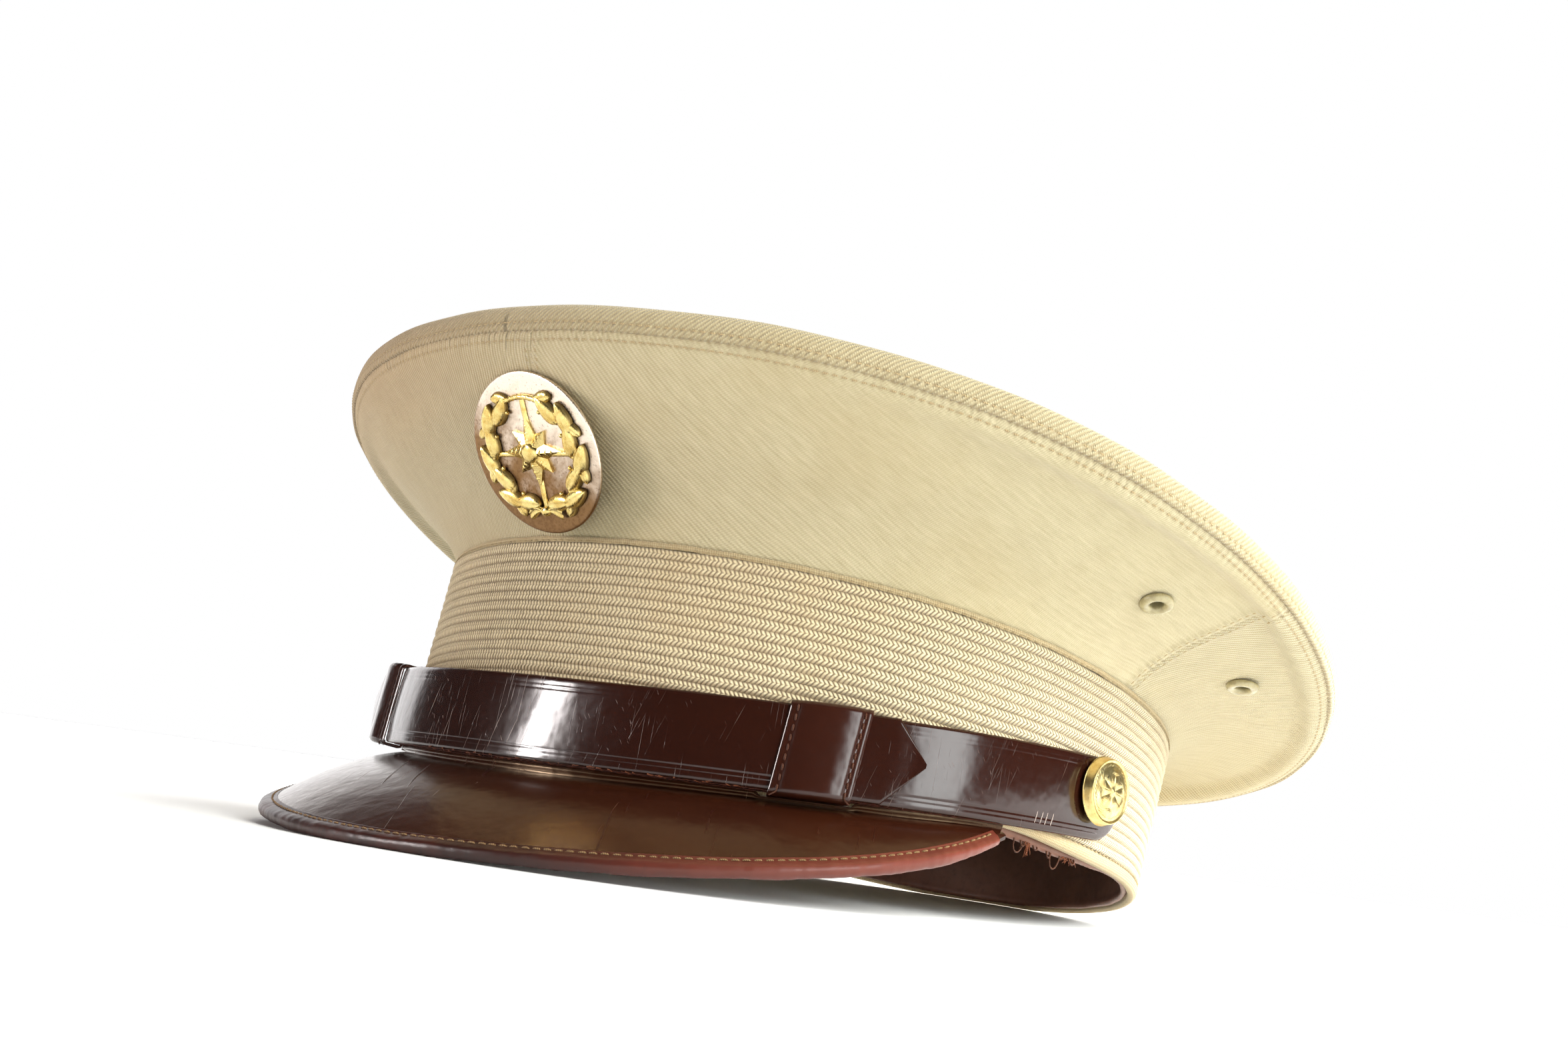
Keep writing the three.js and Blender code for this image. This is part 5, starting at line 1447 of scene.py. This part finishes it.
def make_emblem():
    B = Build()
    x = np.array([1.0, 0, 0])
    a = DISC_AXIS
    y = np.cross(a, x)
    y = y if y[2] > 0 else -y
    org = DISC_AT + a * (DISC_T + 0.26)

    plain_grid = B.grid

    def raised(P, UV=None, **kw):
        # rim_s carries the height for the painted recess shade; parts without their own height count as fairly high
        if "att" not in kw:
            kw["att"] = np.tile([0.8, 0, 0, 0], (*P.shape[:2], 1))
        plain_grid(P, UV, **kw)

    B.grid = raised

    def put(p):
        p = np.asarray(p, float)
        return org + p[..., 0:1] * x + p[..., 1:2] * y + p[..., 2:3] * a

    def leaf(cx, cy, ang, L, W, H, z0=0.0, veins=5):
        nu, nv = 15, 11
        s = np.linspace(-1, 1, nu)[:, None]
        w = np.linspace(-1, 1, nv)[None]
        width = W / 2 * (1 - s**2) ** 0.62 * (1 - 0.25 * s) + 0.04
        px = s * L / 2 + 0.12 * np.abs(w)
        py = w * width
        ribs = 0.12 * np.abs(sin((s * veins - np.abs(w) * 1.1) * PI * 0.5)) * (1 - w**2)
        pz = z0 + H * (1 - w**2) ** 0.5 * (0.55 + 0.45 * (1 - s**2) ** 0.5) - 0.26 * np.exp(-((w / 0.13) ** 2)) - ribs
        pz = np.maximum(pz, 0.0) + 0 * px
        q = np.stack(
            [cx + px * math.cos(ang) - py * math.sin(ang), cy + px * math.sin(ang) + py * math.cos(ang), pz], -1
        )
        # rim_s: the leaf's height, used for the painted recess shade
        hi = np.zeros((*pz.shape, 4))
        hi[..., 0] = np.clip((pz - z0) / H, 0, 1) + 0.001
        B.grid(put(q), None, flip=False, att=hi)
        B.grid(put(q * [1, 1, 0] + [0, 0, -0.05]), None, flip=True)

    R = 13.4
    ring = np.linspace(0, 2 * PI, 181)[:-1]
    # hoop: a twisted cord
    sides = 10
    fi = np.linspace(0, 2 * PI, sides, endpoint=False)
    tw = 0.62 + 0.10 * sin(ring[:, None] * 60 + fi[None])
    hx = (R + tw * cos(fi)[None]) * cos(ring)[:, None]
    hy = (R + tw * cos(fi)[None]) * sin(ring)[:, None]
    hz = 0.35 + tw * sin(fi)[None]
    H = np.stack([hx, hy, hz], -1)
    H = np.concatenate([H, H[:, :1]], 1)
    B.grid(put(H), None, close=True, flip=False)
    for side in (1, -1):
        for i in range(7):
            an = -PI / 2 + side * rad(24 + i * 20)
            rr = R + (0.9 if i % 2 else -0.9)
            leaf(rr * math.cos(an), rr * math.sin(an), an + side * (PI / 2 - 0.32), 8.0, 4.1, 1.6, 0.1)
            rr = R - (1.3 if i % 2 else -1.3)
            an2 = an + side * rad(9)
            leaf(rr * math.cos(an2), rr * math.sin(an2), an2 + side * (PI / 2 + 0.5), 5.6, 2.9, 1.2, 0.0, 3)
            # berries
            bx, by = (R - 2.4) * math.cos(an2), (R - 2.4) * math.sin(an2)
            k = np.linspace(0, PI / 2, 6)[None]
            f = np.linspace(0, 2 * PI, 13)[:, None]
            B.grid(put(np.stack([bx + 0.55 * sin(k) * cos(f), by + 0.55 * sin(k) * sin(f), 0.45 + 0.6 * cos(k) + 0 * f], -1)), None)
    # star: faceted rays round a milled boss
    SY = 0.6
    tips = []
    for i in range(16):
        t = i * PI / 8 + PI / 2
        r = 4.4 if i % 2 else (8.8 * 0.78 if i % 4 else 8.8)
        tips.append((r * math.cos(t), SY + r * math.sin(t), 0.35 if i % 2 else 0.55))
    tips = np.array(tips)
    cen = np.array([[0, SY, 2.1]])
    pts = np.concatenate([tips, cen, tips * [1, 1, 0]])
    q = [[16, i, (i + 1) % 16, (i + 1) % 16] for i in range(16)]
    q += [[i, 17 + i, 17 + (i + 1) % 16, (i + 1) % 16] for i in range(16)]
    F = Build()
    F.faces(put(pts), q)
    # fine cut lines on each ray
    for i in range(0, 16, 2):
        t = i * PI / 8 + PI / 2
        r = 8.8 * 0.78 if i % 4 else 8.8
        for j, f in enumerate((0.34, 0.52, 0.70)):
            px, py = r * f * math.cos(t), r * f * math.sin(t)
            wd = 1.5 * (1 - f) + 0.22
            nx, ny = -math.sin(t) * wd, math.cos(t) * wd
            h0 = 2.1 + (0.55 - 2.1) * f
            bar = np.array(
                [[px - nx, SY + py - ny, h0 * 0.5], [px, SY + py, h0 + 0.16], [px + nx, SY + py + ny, h0 * 0.5]]
            )
            d = np.array([math.cos(t), math.sin(t), 0]) * 0.22
            G = np.stack([bar - d, bar + [0, 0, 0.1], bar + d], 0)
            B.grid(put(G), None)
    k = np.linspace(0.0, 1, 10)[None]
    f = np.linspace(0, 2 * PI, 41)[:, None]
    mill = 0.08 * sin(f * 20) * np.exp(-(((k - 0.8) / 0.15) ** 2))
    B.grid(put(np.stack([2.3 * k * cos(f), SY + 2.3 * k * sin(f), 1.5 + 0.95 * np.sqrt(1.0001 - k**2) + mill], -1)), None)
    # spokes down to the hoop
    for t in (0, PI / 2, PI, -PI / 2):
        s = np.linspace(2.0, R, 12)[:, None]
        w = np.linspace(-1, 1, 7)[None]
        z = 0.62 * np.sqrt(np.maximum(0, 1 - w**2)) + 0.05 * sin(s * 5)
        px, py = s * math.cos(t) - 0.7 * w * math.sin(t), s * math.sin(t) + 0.7 * w * math.cos(t)
        B.grid(put(np.stack([px, py, z + 0 * px], -1)), None)
    # bow at the foot
    for sgn in (1, -1):
        s = np.linspace(0, 1, 16)[:, None]
        w = np.linspace(-1, 1, 9)[None]
        cx = sgn * (0.6 + 4.6 * s)
        cy = -13.4 - 0.6 * s + 0.9 * sin(s * PI)
        wd = 0.55 + 1.35 * smooth(0, 0.75, s) - 0.5 * smooth(0.85, 1, s)
        z = 0.95 - 0.45 * w**2 + 0.2 * sin(w * 7) + 0.25 * sin(s * PI)
        B.grid(put(np.stack([cx + 0 * w, cy + w * wd, z], -1)), None)
    k = np.linspace(0, 1, 7)[None]
    f = np.linspace(0, 2 * PI, 25)[:, None]
    B.grid(put(np.stack([1.5 * k * cos(f), -13.4 + 1.2 * k * sin(f), 0.6 + 1.0 * np.sqrt(1.0001 - k**2) + 0 * f], -1)), None)
    ob = B.make("badge_emblem_relief", [M_RELIEF], "gilt", ["badge_emblem"])
    F.make("badge_emblem_star", [M_STAR], "gilt", flat=True)
    return ob


def make_eyelets():
    for name, deg, t in EYELETS:
        for side, s in (("left", 1), ("right", -1)):
            th = s * rad(deg)
            al = wall(np.array(th + 0.02), np.array(t)) - wall(np.array(th - 0.02), np.array(t))
            up = wall(np.array(th), np.array(t + 0.03)) - wall(np.array(th), np.array(t - 0.03))
            axis = unit(np.cross(al, up))
            if axis @ outward(np.array(th)) < 0:
                axis = -axis
            P, d, N = wall_frame(np.array(th))
            h = (1 - t) * np.linalg.norm(d)
            sink = float(hollow(np.array(th), np.array(h)))
            at = wall(np.array(th), np.array(t)) + axis * sink * 0.92
            k = np.linspace(0, PI, 14)
            ring = np.stack([2.75 + 1.15 * -np.cos(PI - k), 0.5 + 0.95 * sin(k)], -1)
            ring[:, 0] = 2.75 - 1.15 * np.cos(k)
            prof = np.concatenate([[(2.0, -1.2), (1.75, -0.3), (1.62, 0.2)], ring, [(3.9, 0.15), (2.6, 0.1), (2.6, -1.4)]])
            B = Build()
            lathe(B, prof, 48, at, axis)
            # painted shade: a dark disc behind the hole stands for the shade inside the crown
            x, y, a = basis(axis)
            f = np.linspace(0, 2 * PI, 25)[:, None]
            r = np.linspace(0, 2.5, 5)[None]
            G = at + (r * cos(f))[..., None] * x + (r * sin(f))[..., None] * y - 1.25 * a
            B.grid(G, None, mat=1)
            B.make(f"eyelet_{side}_{name}_ring", [M_PAINT, M_DARK], "eyelet", [f"eyelet_{side}_{name}"])


# ---- stitches in the cloth -------------------------------------------------------------------------------------------------
def make_cloth_stitches():
    S = Build()
    total = RIM_ARC[-1]
    for row, dist in (("top", 2.0), ("wall", 1.9)):
        s = np.arange(0.4, total - 0.5, 2.1)
        s = s + rng.uniform(-0.12, 0.12, len(s))
        th = np.interp(s, RIM_ARC, RIM_TH)
        dth = 0.004
        if row == "top":
            pr, _, _ = roll_profile(np.array([dist - 0.3, dist, dist + 0.3]))
            wv = rim_wave(th)
            dz = 0.6 * wobble(th, 8, (7, 12, 19, 27), 0.2)
            C = rim(th, pr[1, 0] + wv * smooth(-3, 1, dist), pr[1, 1] + dz)
            A1 = rim(th, pr[0, 0], pr[0, 1])
            A2 = rim(th, pr[2, 0], pr[2, 1])
            T = rim(th + dth) - rim(th - dth)
        else:
            P, d, N = wall_frame(th)
            L = np.linalg.norm(d, axis=-1)
            t = 1 - dist / L
            C = wall(th, t, hollow(th, dist + 0 * th) + 0.16 * math.exp(-(((dist - 1.6) / 1.5) ** 2)))
            A1, A2 = wall(th, t - 0.01), wall(th, t + 0.01)
            T = wall(th + dth, t) - wall(th - dth, t)
        N = unit(np.cross(T, A2 - A1))
        N = np.where((N * outward(th)).sum(-1, keepdims=True) < 0, -N, N)
        stitches(S, C - N * 0.05, T, N, 0.74, 0.21, sink=0.3)
    # both sides of the four upright seams
    for deg in (FRONT_SEAM, SIDE_SEAM, -SIDE_SEAM, 180.0):
        th0 = rad(deg)
        P, d, N = wall_frame(np.array(th0))
        L = float(np.linalg.norm(d))
        s = np.arange(1.5, L - 2.5, 2.1)
        t = s / L
        for sgn in (-1, 1):
            mid = wall(np.full(3, th0) + np.array([-0.02, 0, 0.02]), np.full(3, 0.5))
            per = np.linalg.norm(mid[2] - mid[0]) / 0.04
            dth = sgn * 1.45 / (per * (1 + 0.38 * t) / 1.19)
            th = th0 + dth + (front_slant(th0, t) if deg == FRONT_SEAM else 0 * t)
            C = wall(th, t, hollow(th, (1 - t) * L) * smooth(0, 0.12, t) + 0.2)
            T = wall(th, t + 0.01) - wall(th, t - 0.01)
            Al = wall(th + 0.01, t) - wall(th - 0.01, t)
            Nn = unit(np.cross(T, Al))
            Nn = np.where((Nn * outward(th)).sum(-1, keepdims=True) < 0, -Nn, Nn)
            stitches(S, C - Nn * 0.02, T, Nn, 0.74, 0.21, sink=0.3)
    # along the band's top strip and foot
    thc = np.linspace(0, 2 * PI, 1200)
    a = arc(head(thc, 20.0 + 0 * thc))
    for zfun, o, r in ((lambda t: band_top(t) - 1.15, 0.10, 0.15), (lambda t: band_bottom(t) + 3.0, -0.12, 0.15)):
        s = np.arange(0.3, a[-1] - 0.4, 2.2)
        th = np.interp(s + rng.uniform(-0.15, 0.15, len(s)), a, thc)
        C = head(th, zfun(th), o)
        T = head(th + 0.004, zfun(th + 0.004), o) - head(th - 0.004, zfun(th - 0.004), o)
        stitches(S, C, T, outward(th), 0.7, r, sink=0.3)
    return S.make("crown_stitches", [M_THREAD], "twill")


def make_loose_threads():
    """Overcast loops that have worked loose on the sweatband's edge, and the frayed leather there."""
    S, O = Build(), Build()
    r = np.random.default_rng(5)
    o = -BAND_T - GAP - 0.4
    for deg, wd, drop in ((72.2, 2.9, 3.0), (73.4, 1.3, 1.2), (80.0, 3.4, 3.4), (79.0, 1.2, 1.4), (84.5, 2.2, 1.0), (76.0, 1.4, 0.9)):
        for sg in (1,):
            t = np.linspace(0, PI, 22)
            th = rad(deg + wd / 1.62 * 0.5 * (1 - cos(t)) - wd * 0.15 * sin(t))
            z = sweat_bottom(th) + 0.2 - drop * sin(t) ** 0.9
            P = head(th, z, o + 0.9 + 0.7 * sin(t))
            tube(S, P, 0.19, 6)
    for deg in (74.6, 75.0, 75.3, 83.3, 84.0, 84.6, 85.2, 86.0):
        n = 9
        k = np.linspace(0, 1, n)
        for _ in range(3):
            a = r.uniform(-1, 1)
            th = rad(deg + a * 1.2 * k + 0.25 * np.cumsum(r.normal(0, 0.18, n)))
            z = sweat_bottom(th) + 0.4 - k * r.uniform(1.0, 3.4 if deg < 76 else 1.6) + 0.1 * np.cumsum(r.normal(0, 0.4, n))
            P = head(th, z, o + 0.7 + 0.5 * k * r.uniform(-1, 1))
            tube(O, P, 0.16 * (1 - 0.6 * k), 5)
    S.make("sweatband_threads", [M_BROWN], "sweatband")
    O.make("sweatband_fray", [M_ORANGE], "sweatband")


make_top()
make_quarter("quarter_front_left_cloth", FRONT_SEAM, SIDE_SEAM, M_LEFT, "quarter_front_left")
make_quarter("quarter_front_right_cloth", -SIDE_SEAM, FRONT_SEAM, M_RIGHT, "quarter_front_right")
make_quarter("quarter_back_left_cloth", SIDE_SEAM, 180.0, M_BACK, "quarter_back_left")
make_quarter("quarter_back_right_cloth", -180.0, -SIDE_SEAM, M_BACK, "quarter_back_right")
make_band()
make_sweatband()
make_peak()
make_binding()
make_straps()
make_strap_wear()
make_keeper("keeper_left_loop", KEEP_L, "keeper_left", False, 101)
make_keeper("keeper_right_loop", KEEP_R, "keeper_right", True, 103)
make_button("button_left_gilt", 1, "button_left")
make_button("button_right_gilt", -1, "button_right")
make_disc()
make_emblem()
make_eyelets()
make_cloth_stitches()
make_loose_threads()

# ---- table, light and camera ----------------------------------------------------------------------------------------------
F = Mat("table", Roughness=0.9)
F.b.inputs["Specular IOR Level"].default_value = 0.1
tone = F.noise(F.place(), 0.8, 3.0)
F.done(F.mix(F.mul(tone, 0.3), (0.86, 0.86, 0.86, 1), (0.83, 0.83, 0.83, 1)), None, None)
me = bpy.data.meshes.new("table")
k = np.linspace(-1, 1, 21)
gx, gy = np.meshgrid(k * 6, k * 6, indexing="ij")
verts = np.stack([gx, gy, 0 * gx - 0.0001], -1).reshape(-1, 3)
quads = [(i * 21 + j, (i + 1) * 21 + j, (i + 1) * 21 + j + 1, i * 21 + j + 1) for i in range(20) for j in range(20)]
me.from_pydata(verts.tolist(), [], quads)
me.materials.append(F.m)
floor = bpy.data.objects.new("table_top", me)
bpy.context.scene.collection.objects.link(floor)

scene = bpy.context.scene
scene.view_settings.view_transform = "Standard"
scene.view_settings.look = "None"
W = bpy.data.worlds.new("studio")
scene.world = W
W.use_nodes = True
nt = W.node_tree
nt.nodes.clear()
out = nt.nodes.new("ShaderNodeOutputWorld")
bg = nt.nodes.new("ShaderNodeBackground")
nt.links.new(bg.outputs[0], out.inputs[0])
# the room is white beyond the cap and dim behind the photographer
tc = nt.nodes.new("ShaderNodeTexCoord")
dot = nt.nodes.new("ShaderNodeVectorMath")
dot.operation = "DOT_PRODUCT"
nt.links.new(tc.outputs["Generated"], dot.inputs[0])
dot.inputs[1].default_value = (-0.62, 0.77, 0.12)
mr = nt.nodes.new("ShaderNodeMapRange")
mr.interpolation_type = "SMOOTHSTEP"
nt.links.new(dot.outputs["Value"], mr.inputs["Value"])
mr.inputs["From Min"].default_value = 0.74
mr.inputs["From Max"].default_value = 0.95
mr.inputs["To Min"].default_value = 0.05
mr.inputs["To Max"].default_value = 1.0
lp = nt.nodes.new("ShaderNodeLightPath")
mx = nt.nodes.new("ShaderNodeMath")
mx.operation = "MAXIMUM"
nt.links.new(mr.outputs["Result"], mx.inputs[0])
nt.links.new(lp.outputs["Is Camera Ray"], mx.inputs[1])
nt.links.new(mx.outputs[0], bg.inputs["Strength"])
bg.inputs["Color"].default_value = (1.0, 1.0, 1.0, 1)


def area(name, az, el, dist, sx, sy, power, color, aim=(0.0, 0.0, 0.06), glossy=True, diffuse=True):
    """A soft box at an azimuth from the front (+ towards the wearer's left), looking at the cap."""
    L = bpy.data.lights.new(name, "AREA")
    L.shape = "RECTANGLE"
    L.size, L.size_y = sx, sy
    L.energy = power
    L.color = color
    ob = bpy.data.objects.new(name, L)
    a, e = math.radians(az), math.radians(el)
    d = Vector((math.sin(a) * math.cos(e), -math.cos(a) * math.cos(e), math.sin(e)))
    ob.location = Vector(aim) + d * dist
    ob.rotation_mode = "QUATERNION"
    ob.rotation_quaternion = (-d).to_track_quat("-Z", "Y")
    bpy.context.scene.collection.objects.link(ob)
    ob.visible_glossy = glossy
    ob.visible_diffuse = diffuse
    ob.visible_camera = False
    return ob


area("softbox_left", -36, 2, 1.6, 0.5, 0.6, 19.5, (1.0, 0.87, 0.81), glossy=False)
area("softbox_left_edge", -31, 9, 1.6, 0.2, 0.8, 30, (1.0, 0.95, 0.94), diffuse=False)
area("card_left_far", -116, 6, 1.6, 0.8, 0.9, 2.6, (1.0, 0.98, 0.98), diffuse=False)
area("card_left_side", -97, 6, 1.6, 0.3, 0.9, 1.6, (1.0, 0.98, 0.98), diffuse=False)
area("panel_right", 88, 10, 1.6, 0.5, 0.9, 13, (0.96, 1.0, 0.99))
area("panel_right_high", 90, 36, 1.7, 1.2, 1.2, 51, (0.98, 1.0, 0.97), glossy=False)
area("panel_back", 158, 6, 1.8, 1.2, 1.0, 150, (1.0, 1.0, 0.96), glossy=False)
area("floor_right", 120, 70, 0.9, 0.8, 0.8, 1.6, (1.0, 1.0, 1.0), aim=(0.42, 0.22, 0.0), glossy=False)
area("top", 20, 75, 1.6, 1.2, 1.2, 1.2, (1.0, 0.95, 0.9))
area("background", 200, 60, 3.6, 6.0, 4.5, 430, (1.0, 1.0, 1.0), aim=(-1.6, 2.4, 0.0), glossy=False)

cam_data = bpy.data.cameras.new("camera")
cam_data.sensor_fit = "HORIZONTAL"
cam_data.sensor_width = 36.0
cam_data.lens = 44.7324
cam_data.clip_start, cam_data.clip_end = 0.01, 50
cam = bpy.data.objects.new("camera", cam_data)
# found in the cap's own frame, millimetres
cam_at = world(np.array([[314.03, -402.7002, -70.522]]))[0]
right, up, fwd = (
    Vector(world_dir(np.array([v]))[0])
    for v in (
        (0.78492344, 0.57198156, 0.23818543),
        (-0.01523146, -0.36649332, 0.930296),
        (-0.61940552, 0.73383904, 0.27895709),
    )
)
rot = Matrix((right, up, -fwd)).transposed().to_4x4()
cam.matrix_world = Matrix.Translation(Vector(cam_at)) @ rot
bpy.context.scene.collection.objects.link(cam)
scene.camera = cam
